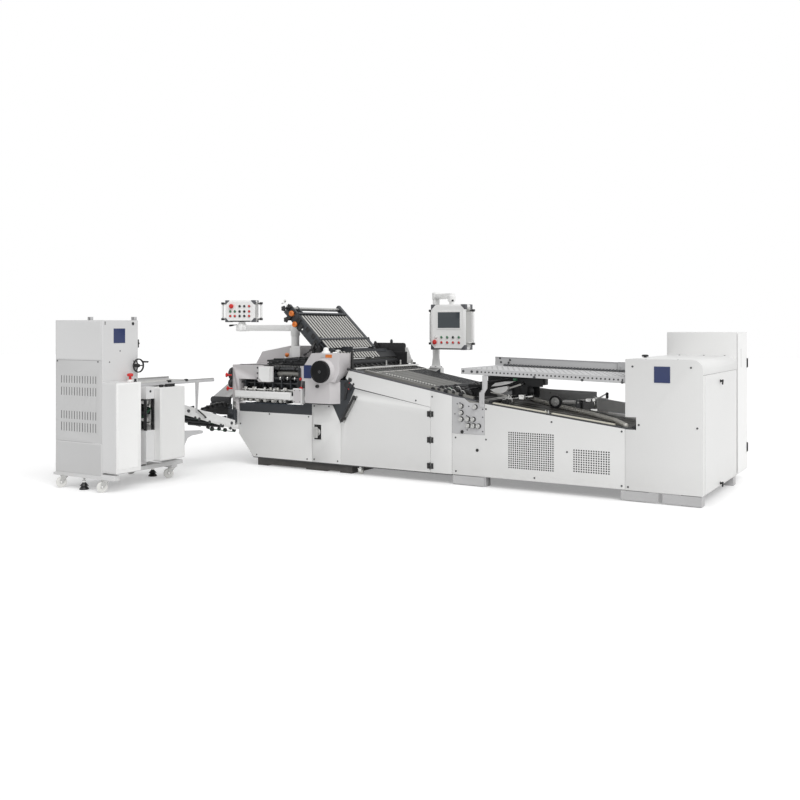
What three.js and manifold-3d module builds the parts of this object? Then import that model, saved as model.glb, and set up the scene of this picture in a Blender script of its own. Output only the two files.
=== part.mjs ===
// Industrial paper folding line: round-pile feeder, inclined register table, buckle fold unit,
// knife fold unit, delivery conveyor and a press stacker on casters.
// Millimetres, +Z up. X runs along the line from delivery to feeder, Y away from the operator.

import * as THREE from 'three';
import { mergeVertices } from 'three/addons/utils/BufferGeometryUtils.js';
import Module from 'manifold-3d';

const wasm = await Module();
wasm.setup();

// Sizes that the whole line shares
const line_depth = 1410;
const sheet = 3;
const frame_plate = 25;
const seat_gap = 0.3;
const bore_gap = 0.5;
const overrun = 6;
const panel_bottom = 95;
const round_sides = 24;
const small_sides = 12;
const ring_sides = 18;

// Lengths of the front covers, from the delivery end to the feeder end
const left_panel_length = 1018;
const switch_panel_width = 375;
const door_width = 1078;
const joint_panel_width = 241;
const feeder_panel_length = 1729;
const cabinet_length = 675;

// Folder covers
const left_panel_height = 499;
const corner_cut_width = 210;
const corner_cut_height = 247;
const switch_panel_height = 617;
const door_corner_height = 424;
const cover_seam = 2;
const door_lip_gap = 9;
const door_lip_run = 176;
const table_slope = THREE.MathUtils.degToRad(10.3);
const register_setback = 101;
const register_height = 1084;
const register_length = 1540;
const table_thickness = 25;
const trim_depth = 176;
const trim_nose = 80;
const table_groove_shares = [0.2, 0.33, 0.46, 0.59, 0.72];
const table_guide_share = 0.92;

// Base plinth
const plinth_start = 243;
const plinth_length = 1264;
const plinth_height = 85;
const plinth_plate = 14;
const plinth_skirt = 40;
const plinth_recess = 13;
const plinth_setback = 40;
const plinth_feet_shares = [[0, 0.113], [0.527, 0.746], [0.88, 1]];

// Folder frame
const beam_width = 60;
const knife_bed_height = 685;
const tower_inset = 55;
const tower_overlap = 3;
const tower_rise = 265;
const tower_root = 980;
const head_reach = 118;
const rack_beam_rise = 10;

// Main switch
const switch_inset = 88;
const switch_center_z = 420;
const switch_frame_width = 86;
const switch_frame_height = 154;
const switch_frame_depth = 14;
const switch_knob_radius = 30;
const switch_knob_depth = 34;
const switch_lever_width = 16;

// Door grip
const grip_low = 40;
const grip_length = 300;
const grip_angle = THREE.MathUtils.degToRad(59);
const grip_radius = 14;
const grip_standoff = 46;
const grip_bracket_shares = [0.08, 0.9];
const knuckle_shares = [0.1, 0.5, 0.9];
const pump_knuckle_shares = [0.25, 0.78];

// Head cover, drive shaft and handwheel
const head_inset = 45;
const head_overlap = 35;
const head_front = 80;
const head_back = 161;
const head_crown = 15;
const head_step_drop = 18;
const head_clear = 18;
const head_wall = 5;
const head_slope_rise = 10;
const head_slope_height = 91;
const head_corner_run = 125;
const head_corner_rise = 169;
const head_chamfer_run = 55;
const head_chamfer_rise = 100;
const shaft_inset = 215;
const shaft_rise = 90;
const shaft_radius = 14;
const boss_radius = 126;
const boss_depth = 50;
const wheel_radius = 115;
const wheel_depth = 34;
const wheel_rim = 12;
const wheel_hub_radius = 34;

// Buckle fold rollers
const fold_roller_radius = 35;
const roller_end_gap = 2;

// Fold plate rack
const rack_pivot_offset = 101;
const rack_pivot_rise = 45;
const rack_angle = THREE.MathUtils.degToRad(136);
const rack_clear = 24;
const rack_width = 850;
const rack_length = 690;
const rack_rail_width = 24;
const rack_rail_depth = 56;
const rack_overhang = 100;
const rack_overhang_start = 110;
const rack_side_depth = 120;
const rack_margin = 38;
const rack_slat_count = 22;
const rack_slat_width = 18;
const rack_slat_depth = 12;
const rack_slat_start = 40;
const rack_slat_length = 480;
const rack_plate = 6;
const rack_bar_shares = [0.18, 1];
const rack_pin_radius = 12;
const rack_ear = 18;

// Guards behind the folder
const rear_guard_clear = 45;
const rear_guard_height = 216;
const table_guard_inset = 30;
const table_guard_length = 430;
const table_guard_height = 214;
const rear_guard_shares = [[0, 0], [0, 0.02], [0.095, 0.64], [0.55, 0.98], [1, 1], [1, 0]];

// Knife unit
const knife_left = -94;
const knife_leg = 94;
const knife_height = 430;
const knife_arm_height = 158;
const knife_arm_length = 441;
const knife_leg_drop = 85;
const knife_plate = 15;
const knife_tower_gap = 40;
const knife_cheek_rise = 15;
const knife_cheek_inset = 40;
const knife_deck_front = 270;
const knife_deck_back = 450;
const knife_deck = 20;
const knife_blade = 5;
const knife_blade_rise = 375;
const knife_blade_height = 225;
const knife_blade_y = 170;
const knife_beam_depth = 44;
const knife_beam_height = 50;
const knife_stroke = 40;
const knife_roller_radius = 30;
const knife_roller_rise = 95;
const ring_radius = 44.5;
const ring_width = 30;
const ring_count = 6;
const ring_shaft_radius = 20;
const ring_y = 49;
const ring_upper_rise = 155;
const journal_radius = 12;

// White rail and trip box at the knife unit's front
const rail_start = -42;
const rail_trip_gap = 64;
const rail_rise = 63;
const rail_height = 80;
const rail_depth = 22;
const trip_box_reach = 50;
const trip_box_width = 111;
const trip_box_rise = 28;
const trip_box_height = 164;
const trip_box_depth = 60;
const knife_cover_start = 291;
const knife_cover_width = 190;
const knife_cover_rise = 249;
const knife_cover_height = 172;
const knife_cover_depth = 60;
const knife_cover_cut = 45;

// Delivery deck and conveyor
const deck_width = 276;
const deck_front = -60;
const deck_back = 230;
const deck_nose = 80;
const deck_nose_rise = 26;
const deck_rise = 150;
const conveyor_head_y = -862;
const conveyor_head_z = 671;
const conveyor_tail_y = -60;
const conveyor_tail_z = 440;
const conveyor_height = 104;
const conveyor_width = 520;
const conveyor_rail = 6;
const conveyor_right = -4;
const conveyor_roller_radius = 34;
const conveyor_bed = 8;

// Left control box on its swivelling arm
const left_post_x = 545;
const left_post_y = 330;
const left_post_radius = 45;
const left_post_foot = 90;
const left_post_foot_height = 190;
const left_arm_height = 68;
const left_arm_width = 80;
const left_arm_rise = 380;
const left_arm_length = 780;
const left_box_width = 360;
const left_box_height = 250;
const left_box_depth = 130;
const left_box_turn = THREE.MathUtils.degToRad(20);
const left_stop_shares = [-0.275, 0.73];
const pivot_radius = 28;
const box_lift = 36;
const stop_radius = 20;
const stop_stem = 11;
const stop_depth = 26;
const stop_travel = 8;
const box_corner = 14;
const box_handle_gap = 56;
const box_handle_radius = 9;
const box_handle_share = 0.74;

// Right control box on its post and arm
const right_post_x = 1791;
const right_post_radius = 40;
const right_flange_radius = 78;
const right_flange_height = 14;
const right_post_pad = 1068;
const right_post_top = 1858;
const right_arm_reach = 300;
const right_arm_turn = THREE.MathUtils.degToRad(-25.7);
const right_arm_height = 62;
const right_arm_width = 76;
const right_drop = 31;
const right_box_width = 430;
const right_box_clear = 203;
const right_stop_shares = [-0.365, 0.165];
const right_box_depth = 180;
const right_box_turn = THREE.MathUtils.degToRad(0);

// Feeder
const return_gap = 41;
const feeder_edge_high = 800;
const feeder_edge_low = 636;
const return_sink = 26;
const return_guard_height = 128;
const return_guard_y = 1000;
const valve_plate_width = 353;
const valve_plate_low = 500;
const valve_post_width = 54;
const valve_post_jog = 32;
const valve_post_bend = 900;
const cabinet_top = 1256;
const cabinet_corner = 82;
const notch_width = 99;
const notch_low = 633;
const notch_high = 743;
const drum_cover_end = 1127;
const foot_height = 98;
const foot_depth = 110;
const foot_width = 354;
const drum_inset = 334;
const drum_z = 880;
const drum_radius = 208;
const drum_core_radius = 26;
const drum_disc_count = 5;
const drum_disc_width = 90;
const end_door_inset = 69;
const pump_depth = 495;
const pump_length = 682;
const pump_top = 1485;
const hinge_knuckle = 9;

// Loading table over the feeder
const loading_start = 2802;
const loading_height = 1139;
const loading_slope = THREE.MathUtils.degToRad(1.5);
const loading_front = 20;
const loading_depth = 785;
const loading_edge = 58;
const loading_deck = 8;
const loading_fence = 91;
const loading_fence_share = 0.8;
const hanger_near = 330;
const hanger_far = 640;
const hanger_x = 400;
const hanger_length = 160;
const hanger_drop = 230;
const suction_radius = 62;
const suction_width = 120;

// Press wheel that holds the sheets on the return table
const press_y = 600;
const press_wheel_radius = 62;
const press_wheel_width = 30;
const press_pivot_x = 3799;
const press_arm_reach = 236;
const press_pivot_rise = 92;
const press_arm_depth = 24;
const press_axle_radius = 9;

// Stacker, in its own frame: X and Y from the tower's front left corner, Z from the floor
const stacker_x = -517;
const stacker_y = -2080;
const tower_width = 643;
const tower_depth = 444;
const tower_low = 139;
const tower_top = 1605;
const louvre_low = 448;
const louvre_high = 1226;
const louvre_slot_width = 7;
const louvre_slot_count = 14;
const louvre_slot_shares = [0.13, 0.87];
const louvre_row_shares = [[0.127, 0.235], [0.277, 0.375], [0.567, 0.667], [0.717, 0.807]];
const drive_width = 191;
const drive_depth = 303;
const drive_low = 182;
const drive_top = 1020;
const infeed_front = 553;
const infeed_depth = 334;
const infeed_low = 236;
const infeed_top = 950;
const infeed_width = 834;
const infeed_window_low = 600;
const infeed_window_high = 842;
const infeed_window_shares = [0.15, 0.92];
const chassis_depth = 1060;
const chassis_rail = 40;
const bar_reach_left = 25;
const bar_reach_right = 165;
const rear_bar_y = 900;
const middle_panel_share = 0.42;
const foot_low = 36;
const foot_cone = 34;
const foot_cone_radius = 42;
const foot_front_share = 0.58;
const foot_rear_share = 0.538;
const foot_front_y = 24;
const foot_rear_inset = 30;
const caster_front_y = 18;
const caster_front_inset = 111;
const caster_front_reach = 30;
const caster_rear_inset = 45;
const caster_rear_left_inset = 60;
const caster_rear_right_inset = 41;
const caster_turn = THREE.MathUtils.degToRad(-129);
const stacker_table_low = 960;
const stacker_table_edge = 30;
const stacker_table_length = 1064;
const stacker_strut_share = 0.75;
const stacker_strut_low_share = 0.67;
const crank_radius = 69;
const crank_height = 1167;
const crank_y = 409;
const crank_depth = 12;
const crank_standoff = 52;
const crank_grip_angle = THREE.MathUtils.degToRad(35);
const caster_height = 115;
const caster_radius = 50;
const caster_width = 28;
const caster_trail = 32;
const caster_plate = 84;
const caster_plate_thickness = 6;
const caster_fork_gap = 4;
const caster_fork_wall = 4;
const caster_axle_radius = 7;

// Stations along the line, worked out from the cover lengths
const switch_x = left_panel_length;
const door_x = switch_x + switch_panel_width;
const joint_x = door_x + door_width;
const feeder_x = joint_x + joint_panel_width;
const cabinet_x = feeder_x + feeder_panel_length;
const end_x = cabinet_x + cabinet_length;
const frame_front = sheet + seat_gap;
const frame_back = line_depth - sheet - seat_gap;
const inner_front = frame_front + frame_plate;
const inner_back = frame_back - frame_plate;
const switch_center_x = switch_x + switch_inset;
const register_start = door_x + register_setback;
const feeder_return_start = register_start + register_length + return_gap;
const drum_x = cabinet_x + drum_inset;
const slope_rise = Math.tan(table_slope);
const register_line = (x) => register_height - (x - register_start) * slope_rise;
const under_table = (x) => register_line(x) - (table_thickness + seat_gap) / Math.cos(table_slope);
const feeder_slope = (feeder_edge_high - feeder_edge_low) / (cabinet_x - feeder_return_start);
const feeder_line = (x) => feeder_edge_high - (x - feeder_return_start) * feeder_slope;
const head_start = switch_x - head_reach;
const tower_start = head_start + tower_inset;
const tower_end = door_x + tower_overlap;
const tower_height = tower_root + tower_rise;
const rack_beam_height = tower_root + rack_beam_rise;
const head_left = head_start + head_inset;
const head_right = door_x + head_overlap;
const head_top = tower_height + head_crown;
const head_step = tower_root - head_step_drop;
const head_bottom = panel_bottom + switch_panel_height + head_clear;
const head_slope_low = tower_root + head_slope_rise;
const head_slope_high = head_slope_low + head_slope_height;
const shaft_x = switch_x + shaft_inset;
const shaft_z = tower_root + shaft_rise;
const rack_pivot_x = shaft_x - rack_pivot_offset;
const rack_pivot_z = tower_height + rack_pivot_rise;
const rack_near = head_back + rack_clear;
const rack_far = rack_near + rack_width;
const rear_guard_y = left_post_y + left_post_foot / 2 + rear_guard_clear;
const table_guard_start = head_start + table_guard_inset;
const knife_cheek_right = head_start - knife_tower_gap;
const trip_box_start = knife_cheek_right - trip_box_reach;
const rail_length = trip_box_start - rail_trip_gap - rail_start;
const knife_top = knife_bed_height + knife_height;
const knife_leg_foot = knife_bed_height - knife_leg_drop;
const knife_cheek_bottom = knife_bed_height + knife_cheek_rise;
const knife_blade_top = knife_bed_height + knife_blade_rise;
const knife_roller_z = knife_bed_height + knife_roller_rise;
const ring_upper_z = knife_bed_height + ring_upper_rise;
const rail_low = knife_bed_height + rail_rise;
const trip_box_low = knife_bed_height + trip_box_rise;
const knife_cover_low = knife_bed_height + knife_cover_rise;
const deck_nose_z = knife_bed_height + deck_nose_rise;
const left_arm_low = knife_top + left_arm_rise;
const right_box_low = register_height + right_box_clear;
const right_box_height = right_post_top - right_drop - box_lift - right_box_low;
const press_wheel_x = press_pivot_x - press_arm_reach;

// Finishes
const finish = (color, roughness, metalness) => new THREE.MeshStandardMaterial({
  color, roughness, metalness,
});
const cover_paint = () => finish(0xe4e3e2, 0.45, 0.1);
const white_paint = () => finish(0xf2f2f1, 0.4, 0.1);
const head_paint = () => finish(0xc9c6c5, 0.45, 0.1);
const dark_frame = () => finish(0x2b2d30, 0.55, 0.3);
const black_plastic = () => finish(0x18181a, 0.4, 0.0);
const bare_steel = () => finish(0x9a9c9e, 0.35, 0.9);
const rubber = () => finish(0x262627, 0.8, 0.0);
const stop_red = () => finish(0xc5221c, 0.35, 0.0);
const caster_white = () => finish(0xe9e9e6, 0.5, 0.0);

// A closed geometry becomes a solid, and a solid becomes a named piece
function solid(geometry) {
  const bare = geometry.clone();
  bare.deleteAttribute('normal');
  bare.deleteAttribute('uv');
  const welded = mergeVertices(bare, 1e-4);
  return new wasm.Manifold(new wasm.Mesh({
    numProp: 3,
    vertProperties: new Float32Array(welded.attributes.position.array),
    triVerts: new Uint32Array(welded.index.array),
  }));
}

function geometry_of(body) {
  const mesh = body.getMesh();
  const geometry = new THREE.BufferGeometry();
  geometry.setAttribute('position', new THREE.BufferAttribute(new Float32Array(mesh.vertProperties), 3));
  geometry.setIndex(new THREE.BufferAttribute(new Uint32Array(mesh.triVerts), 1));
  const flat = geometry.toNonIndexed();
  flat.computeVertexNormals();
  return flat;
}

function piece(name, body, material) {
  const mesh = new THREE.Mesh(geometry_of(body), material);
  mesh.name = name;
  return mesh;
}

const join = (...bodies) => bodies.reduce((sum, body) => sum.add(body));
const cut = (body, ...tools) => tools.reduce((rest, tool) => rest.subtract(tool), body);

// Blocks, plates and rods in the frame that they are used in
function block([x0, x1], [y0, y1], [z0, z1]) {
  const box = new THREE.BoxGeometry(x1 - x0, y1 - y0, z1 - z0);
  box.translate((x0 + x1) / 2, (y0 + y1) / 2, (z0 + z1) / 2);
  return solid(box);
}

function outline(points) {
  if (points instanceof THREE.Shape) {
    return points;
  }
  return new THREE.Shape(points.map(([a, b]) => new THREE.Vector2(a, b)));
}

function extrude(shape, depth) {
  return new THREE.ExtrudeGeometry(shape, { depth, bevelEnabled: false, curveSegments: small_sides / 2 });
}

// Outline in X and Z, thickness from y0 to y1
function wall_xz(points, y0, y1) {
  const body = extrude(outline(points), y1 - y0);
  body.rotateX(Math.PI / 2);
  body.translate(0, y1, 0);
  return solid(body);
}

// Outline in Y and Z, thickness from x0 to x1
function wall_yz(points, x0, x1) {
  const body = extrude(outline(points), x1 - x0);
  body.applyMatrix4(new THREE.Matrix4().makeBasis(
    new THREE.Vector3(0, 1, 0), new THREE.Vector3(0, 0, 1), new THREE.Vector3(1, 0, 0)));
  body.translate(x0, 0, 0);
  return solid(body);
}

// Outline in X and Y, thickness from z0 to z1
function wall_xy(points, z0, z1) {
  const body = extrude(outline(points), z1 - z0);
  body.translate(0, 0, z0);
  return solid(body);
}

function rod(start, end, radius, sides = round_sides, end_radius = radius) {
  const from = new THREE.Vector3(...start);
  const along = new THREE.Vector3(...end).sub(from);
  const body = new THREE.CylinderGeometry(end_radius, radius, along.length(), sides);
  body.translate(0, along.length() / 2, 0);
  body.applyQuaternion(new THREE.Quaternion().setFromUnitVectors(
    new THREE.Vector3(0, 1, 0), along.clone().normalize()));
  body.translate(from.x, from.y, from.z);
  return solid(body);
}

// A turned piece about Z from radius and height pairs that start and end on the axis
function turned(profile, sides = round_sides) {
  return solid(new THREE.LatheGeometry(profile.map(([r, z]) => new THREE.Vector2(r, z)), sides)
    .rotateX(Math.PI / 2));
}

function rounded_block(width, depth, height, radius) {
  const half = width / 2;
  const shape = new THREE.Shape();
  shape.moveTo(-half + radius, 0);
  shape.lineTo(half - radius, 0);
  shape.absarc(half - radius, radius, radius, -Math.PI / 2, 0);
  shape.lineTo(half, height - radius);
  shape.absarc(half - radius, height - radius, radius, 0, Math.PI / 2);
  shape.lineTo(-half + radius, height);
  shape.absarc(-half + radius, height - radius, radius, Math.PI / 2, Math.PI);
  shape.lineTo(-half, radius);
  shape.absarc(-half + radius, radius, radius, Math.PI, Math.PI * 1.5);
  return wall_xz(shape, -depth / 2, depth / 2);
}

const place = (mesh, x, y, z) => {
  mesh.position.set(x, y, z);
  return mesh;
};

// Black plinth: a plate on transverse foot bars, with a skirt along the front and the back
function base_plinth() {
  const depth = [plinth_setback, line_depth - plinth_setback];
  const plate = block([plinth_start, plinth_start + plinth_length], depth,
    [plinth_height - plinth_plate, plinth_height]);
  const feet = plinth_feet_shares.map(([from, to]) => block(
    [plinth_start + from * plinth_length, plinth_start + to * plinth_length], depth,
    [0, plinth_height - plinth_plate / 2]));
  const skirts = [depth[0], depth[1] - plinth_skirt].map((y) => block(
    [plinth_start, plinth_start + plinth_length], [y, y + plinth_skirt],
    [plinth_recess, plinth_height - plinth_plate / 2]));
  return piece('base_plinth', join(plate, ...feet, ...skirts), black_plastic());
}

// The folder's welded frame: two side plates, cross beams, rack ears and the post pad
function folder_side(y0, y1) {
  const low = plinth_height + seat_gap;
  const start = frame_plate / 2;
  return wall_xz([
    [start, panel_bottom + corner_cut_height], [corner_cut_width, low + seat_gap],
    [plinth_start, low], [feeder_x - seat_gap / 2, low],
    [feeder_x - seat_gap / 2, under_table(feeder_x)], [register_start, under_table(register_start)],
    [tower_end + frame_plate * 2, tower_root], [tower_end - head_chamfer_run, tower_root],
    [tower_end, tower_root + head_chamfer_rise], [tower_end, tower_height],
    [tower_start + head_corner_run, tower_height],
    [tower_start, tower_height - head_corner_rise - overrun * 2], [tower_start, tower_root],
    [head_start, tower_root], [head_start, knife_bed_height], [start, knife_bed_height],
  ], y0, y1);
}

function folder_window(from, to, low, high) {
  return block([from, to], [frame_front - overrun, inner_front + overrun], [low, high]);
}

function folder_frame() {
  const across = [inner_front - overrun, inner_back + overrun];
  const low = plinth_height + seat_gap;
  const beams = [
    [corner_cut_width + beam_width, low], [switch_x - beam_width, low], [joint_x - beam_width * 2, low],
    [beam_width, knife_bed_height - beam_width], [door_x + beam_width * 2, knife_bed_height],
    [joint_x + beam_width, under_table(joint_x + beam_width * 2) - beam_width * 2],
  ].map(([x, z]) => block([x, x + beam_width], across, [z, z + beam_width]));
  const rack_beam = block([head_start, head_start + beam_width], across,
    [rack_beam_height - beam_width, rack_beam_height - overrun]);
  const ear_half = rack_pin_radius * 2;
  const ear_outline = [
    [head_start, rack_beam_height - beam_width / 2],
    [head_start + beam_width, rack_beam_height - beam_width],
    [rack_pivot_x + ear_half, rack_pivot_z - ear_half],
    [rack_pivot_x + ear_half, rack_pivot_z + ear_half],
    [rack_pivot_x - ear_half, rack_pivot_z + ear_half],
  ];
  const ears = [rack_near - seat_gap - rack_ear, rack_far + seat_gap]
    .map((y) => wall_xz(ear_outline, y, y + rack_ear));
  const pad_low = register_line(right_post_x) - table_thickness * 3;
  const pad = block([right_post_x - right_flange_radius, right_post_x + right_flange_radius],
    [inner_back - beam_width, frame_back], [pad_low, right_post_pad]);
  const guard_foot = block([table_guard_start, table_guard_start + table_guard_length],
    [inner_back, frame_back], [tower_root - beam_width, tower_height]);
  const rack_hole = rod([rack_pivot_x, inner_front + overrun, rack_pivot_z],
    [rack_pivot_x, inner_back - overrun, rack_pivot_z], rack_pin_radius + bore_gap);
  const roller_holes = [shaft_z, shaft_z + fold_roller_radius * 2 + seat_gap].map((z) => rod(
    [shaft_x, frame_front - overrun, z], [shaft_x, frame_back + overrun, z], shaft_radius + bore_gap));
  const windows = [
    folder_window(beam_width * 5, switch_x - beam_width * 2,
      low + beam_width * 2, knife_bed_height - beam_width * 3),
    folder_window(door_x + beam_width, joint_x - beam_width * 2,
      low + beam_width * 2, knife_bed_height - beam_width),
  ];
  return piece('folder_frame', cut(
    join(folder_side(frame_front, inner_front), folder_side(inner_back, frame_back), ...beams, rack_beam,
      ...ears, pad, guard_foot),
    rack_hole, ...roller_holes, ...windows), dark_frame());
}

// Front covers of the folder
function folder_left_panel() {
  const seam = cover_seam / 2;
  return piece('folder_left_panel', wall_xz([
    [0, panel_bottom + corner_cut_height], [corner_cut_width, panel_bottom],
    [switch_x - seam, panel_bottom], [switch_x - seam, panel_bottom + left_panel_height],
    [0, panel_bottom + left_panel_height],
  ], 0, sheet), cover_paint());
}

function switch_panel() {
  const seam = cover_seam / 2;
  const top = panel_bottom + switch_panel_height;
  const bezel = block(
    [switch_center_x - switch_frame_width / 2, switch_center_x + switch_frame_width / 2],
    [-switch_frame_depth, sheet / 2],
    [switch_center_z - switch_frame_height / 2, switch_center_z + switch_frame_height / 2]);
  const spindle_hole = rod([switch_center_x, -switch_frame_depth - overrun, switch_center_z],
    [switch_center_x, sheet + overrun, switch_center_z], stop_stem + bore_gap);
  return piece('switch_panel', cut(join(wall_xz([
    [switch_x + seam, panel_bottom], [door_x - seam, panel_bottom],
    [door_x - seam, panel_bottom + door_corner_height], [door_x - corner_cut_width / 2, top],
    [switch_x + seam, top],
  ], 0, sheet), bezel), spindle_hole), cover_paint());
}

// Rotary main switch: grey knob with a raised lever on a short spindle
function main_switch_lever() {
  const knob = rod([0, -seat_gap, 0], [0, -switch_knob_depth, 0], switch_knob_radius);
  const lever = block([-switch_lever_width / 2, switch_lever_width / 2],
    [-switch_knob_depth - switch_lever_width, -switch_knob_depth / 2],
    [-switch_knob_radius, switch_knob_radius * 1.5]);
  const spindle = rod([0, -switch_knob_depth / 2, 0], [0, switch_frame_depth + sheet, 0], stop_stem);
  return place(piece('main_switch_lever', join(knob, lever, spindle), black_plastic()),
    switch_center_x, -switch_frame_depth, switch_center_z);
}

// Large hinged door, with its black grip bar standing off on two brackets
function folder_door() {
  const seam = cover_seam / 2;
  const left = door_x + seam;
  const corner = panel_bottom + door_corner_height;
  const lip_x = left + door_lip_run;
  const top = (x) => register_line(x) - trim_depth + trim_nose / 8;
  const lip_z = top(lip_x) - door_lip_gap;
  const leaf = wall_xz([
    [left, panel_bottom], [joint_x - seam, panel_bottom], [joint_x - seam, top(joint_x)],
    [lip_x, lip_z], [left, corner + overrun * 2],
  ], 0, sheet);
  const foot = [left + grip_low, corner + grip_low];
  const grip_run = grip_length * Math.cos(grip_angle);
  const grip_rise = grip_length * Math.sin(grip_angle);
  const head = [foot[0] + grip_run, foot[1] + grip_rise];
  const bar = rod([foot[0], -grip_standoff, foot[1]], [head[0], -grip_standoff, head[1]],
    grip_radius, small_sides);
  const brackets = grip_bracket_shares.map((share) => {
    const [x, z] = [0, 1].map((i) => foot[i] + share * (head[i] - foot[i]));
    return rod([x, sheet / 2, z], [x, -grip_standoff, z], grip_radius * 0.6, small_sides);
  });
  const knuckles = knuckle_shares.map((share) => {
    const z = panel_bottom + share * (top(joint_x) - panel_bottom);
    return rod([joint_x - seam * 3, -hinge_knuckle / 2, z - beam_width / 2],
      [joint_x - seam * 3, -hinge_knuckle / 2, z + beam_width / 2], hinge_knuckle * 0.6, small_sides);
  });
  return piece('folder_door', join(leaf, bar, ...brackets, ...knuckles), cover_paint());
}

// Side cover under the register table, with the narrow panel down to the floor line
function table_side_trim() {
  const seam = cover_seam;
  const line = (x) => register_line(x);
  const low = (x) => line(x) - trim_depth + trim_nose / 8 + seam;
  const start = register_start;
  const panel = wall_xz([
    [start, line(start)], [start - trim_nose / 2, line(start) - trim_nose],
    [start + trim_nose, low(start + trim_nose)], [joint_x + seam / 2, low(joint_x)],
    [joint_x + seam / 2, panel_bottom], [feeder_x - seam / 2, panel_bottom],
    [feeder_x - seam / 2, line(feeder_x)],
  ], 0, sheet);
  const groove = block([joint_x - seam / 2, joint_x + seam / 2], [-overrun, sheet / 3],
    [low(joint_x) - overrun, line(joint_x) + overrun]);
  return piece('table_side_trim', cut(panel, groove), cover_paint());
}

// Grey head cover: a shell with a hood over the roller ends, a round boss and a slanted lower right
function head_shell(inset, back) {
  const [left, right, top] = [head_left + inset, head_right - inset, head_top - inset];
  const face = wall_xz([
    [left, head_step + inset], [right - head_chamfer_run, head_step + inset],
    [right, head_step + head_chamfer_rise + inset], [right, top],
    [left + head_corner_run, top], [left, top - head_corner_rise],
  ], inset - head_front, head_back + back);
  const side = wall_yz([
    [-head_front, head_step - back], [sheet + back, head_step - back],
    [sheet + back, head_slope_low - back * head_back],
    [head_back + back, head_slope_high - back * head_back],
    [head_back + back, top + back], [-head_front, top + back],
  ], left, right);
  const lower = wall_xy([
    [left + frame_plate * 1.6, sheet + back], [left + frame_plate * 1.6, inset - head_front],
    [head_right - switch_panel_width / 3 - inset, inset - head_front],
    [head_right - beam_width * 0.75 - inset, sheet + back],
  ], head_bottom + inset, head_step + inset * 2);
  return join(face.intersect(side), lower);
}

function head_cover() {
  const boss = rod([shaft_x, -head_front + head_wall / 2, shaft_z],
    [shaft_x, -head_front - boss_depth, shaft_z],
    boss_radius + frame_plate / 2, round_sides * 1.5, boss_radius);
  const bore = rod([shaft_x, overrun - head_front + head_wall, shaft_z],
    [shaft_x, -head_front - boss_depth - overrun, shaft_z], shaft_radius + bore_gap);
  const hollow = rod([shaft_x, overrun - head_front + head_wall, shaft_z],
    [shaft_x, head_wall * 2 - head_front - boss_depth, shaft_z], boss_radius - head_wall * 2);
  const shell = join(head_shell(0, 0), boss);
  return piece('head_cover', cut(shell, head_shell(head_wall, overrun), hollow, bore), head_paint());
}

// Dished black handwheel on the end of the drive shaft
function main_handwheel() {
  const shaft_length = head_front + boss_depth + frame_front - seat_gap;
  const wheel = turned([
    [0, wheel_depth * 0.4], [wheel_hub_radius, wheel_depth * 0.4],
    [wheel_hub_radius * 1.3, wheel_depth * 0.25],
    [wheel_radius - wheel_rim * 2, wheel_depth * 0.25], [wheel_radius - wheel_rim, wheel_depth],
    [wheel_radius - wheel_rim / 3, wheel_depth], [wheel_radius, wheel_depth * 0.75],
    [wheel_radius, seat_gap], [0, seat_gap],
  ].reverse(), round_sides * 1.5);
  const shaft = rod([0, 0, -shaft_length], [0, 0, wheel_depth / 4], shaft_radius);
  const mesh = place(piece('main_handwheel', join(wheel, shaft), black_plastic()),
    shaft_x, -head_front - boss_depth, shaft_z);
  mesh.rotation.x = Math.PI / 2;
  return mesh;
}

// The two buckle fold rollers, one above the other, with journals in the side plates
function fold_roller(name, z) {
  const length = inner_back - inner_front - roller_end_gap * 2;
  const journal = roller_end_gap + frame_plate;
  const body = join(rod([0, 0, 0], [0, length, 0], fold_roller_radius),
    rod([0, -journal, 0], [0, length + journal, 0], shaft_radius));
  return place(piece(name, body, bare_steel()), shaft_x, inner_front + roller_end_gap, z);
}

// Tilting rack of fold plates: rails, a tie rod, a plate and its slats, on one pivot shaft
function fold_plate_rack() {
  const width = rack_far - rack_near;
  const along = (start, length, from, to, low, high) => block(
    [start, start + length], [from, to], [low, high]);
  const half = rack_rail_depth / 2;
  const rails = [0, width - rack_rail_width].map((y) => along(-rack_rail_depth / 2, rack_length, y,
    y + rack_rail_width, -half, half));
  const near = -rack_overhang;
  const wing = along(rack_overhang_start, rack_length - rack_overhang_start, near, near + rack_rail_width,
    -half, rack_side_depth - half);
  const plate = along(rack_slat_start, rack_slat_length, near + overrun, width - overrun, 0, rack_plate);
  const first = near + rack_rail_width + rack_margin;
  const pitch = (width - rack_rail_width - first) / rack_slat_count;
  const slats = Array.from({ length: rack_slat_count }, (_, i) => {
    const y = first + (i + 0.5) * pitch - rack_slat_width / 2;
    return along(rack_slat_start, rack_slat_length, y, y + rack_slat_width,
      -rack_slat_depth, rack_plate / 2);
  });
  const crossbars = rack_bar_shares.map((share) => along(rack_slat_start + rack_slat_length * share,
    rack_rail_width, near + overrun, width - overrun, -half * 0.8, half / 2));
  const tie = rod([rack_length - rack_rail_depth, near, 0], [rack_length - rack_rail_depth, width, 0],
    rack_pin_radius, small_sides);
  const pin = rod([0, -rack_ear - seat_gap, 0], [0, width + rack_ear + seat_gap, 0], rack_pin_radius);
  const mesh = place(piece('fold_plate_rack', join(...rails, wing, plate, ...slats, ...crossbars, tie, pin),
    dark_frame()), rack_pivot_x, rack_near, rack_pivot_z);
  mesh.rotation.y = -rack_angle;
  return mesh;
}

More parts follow.
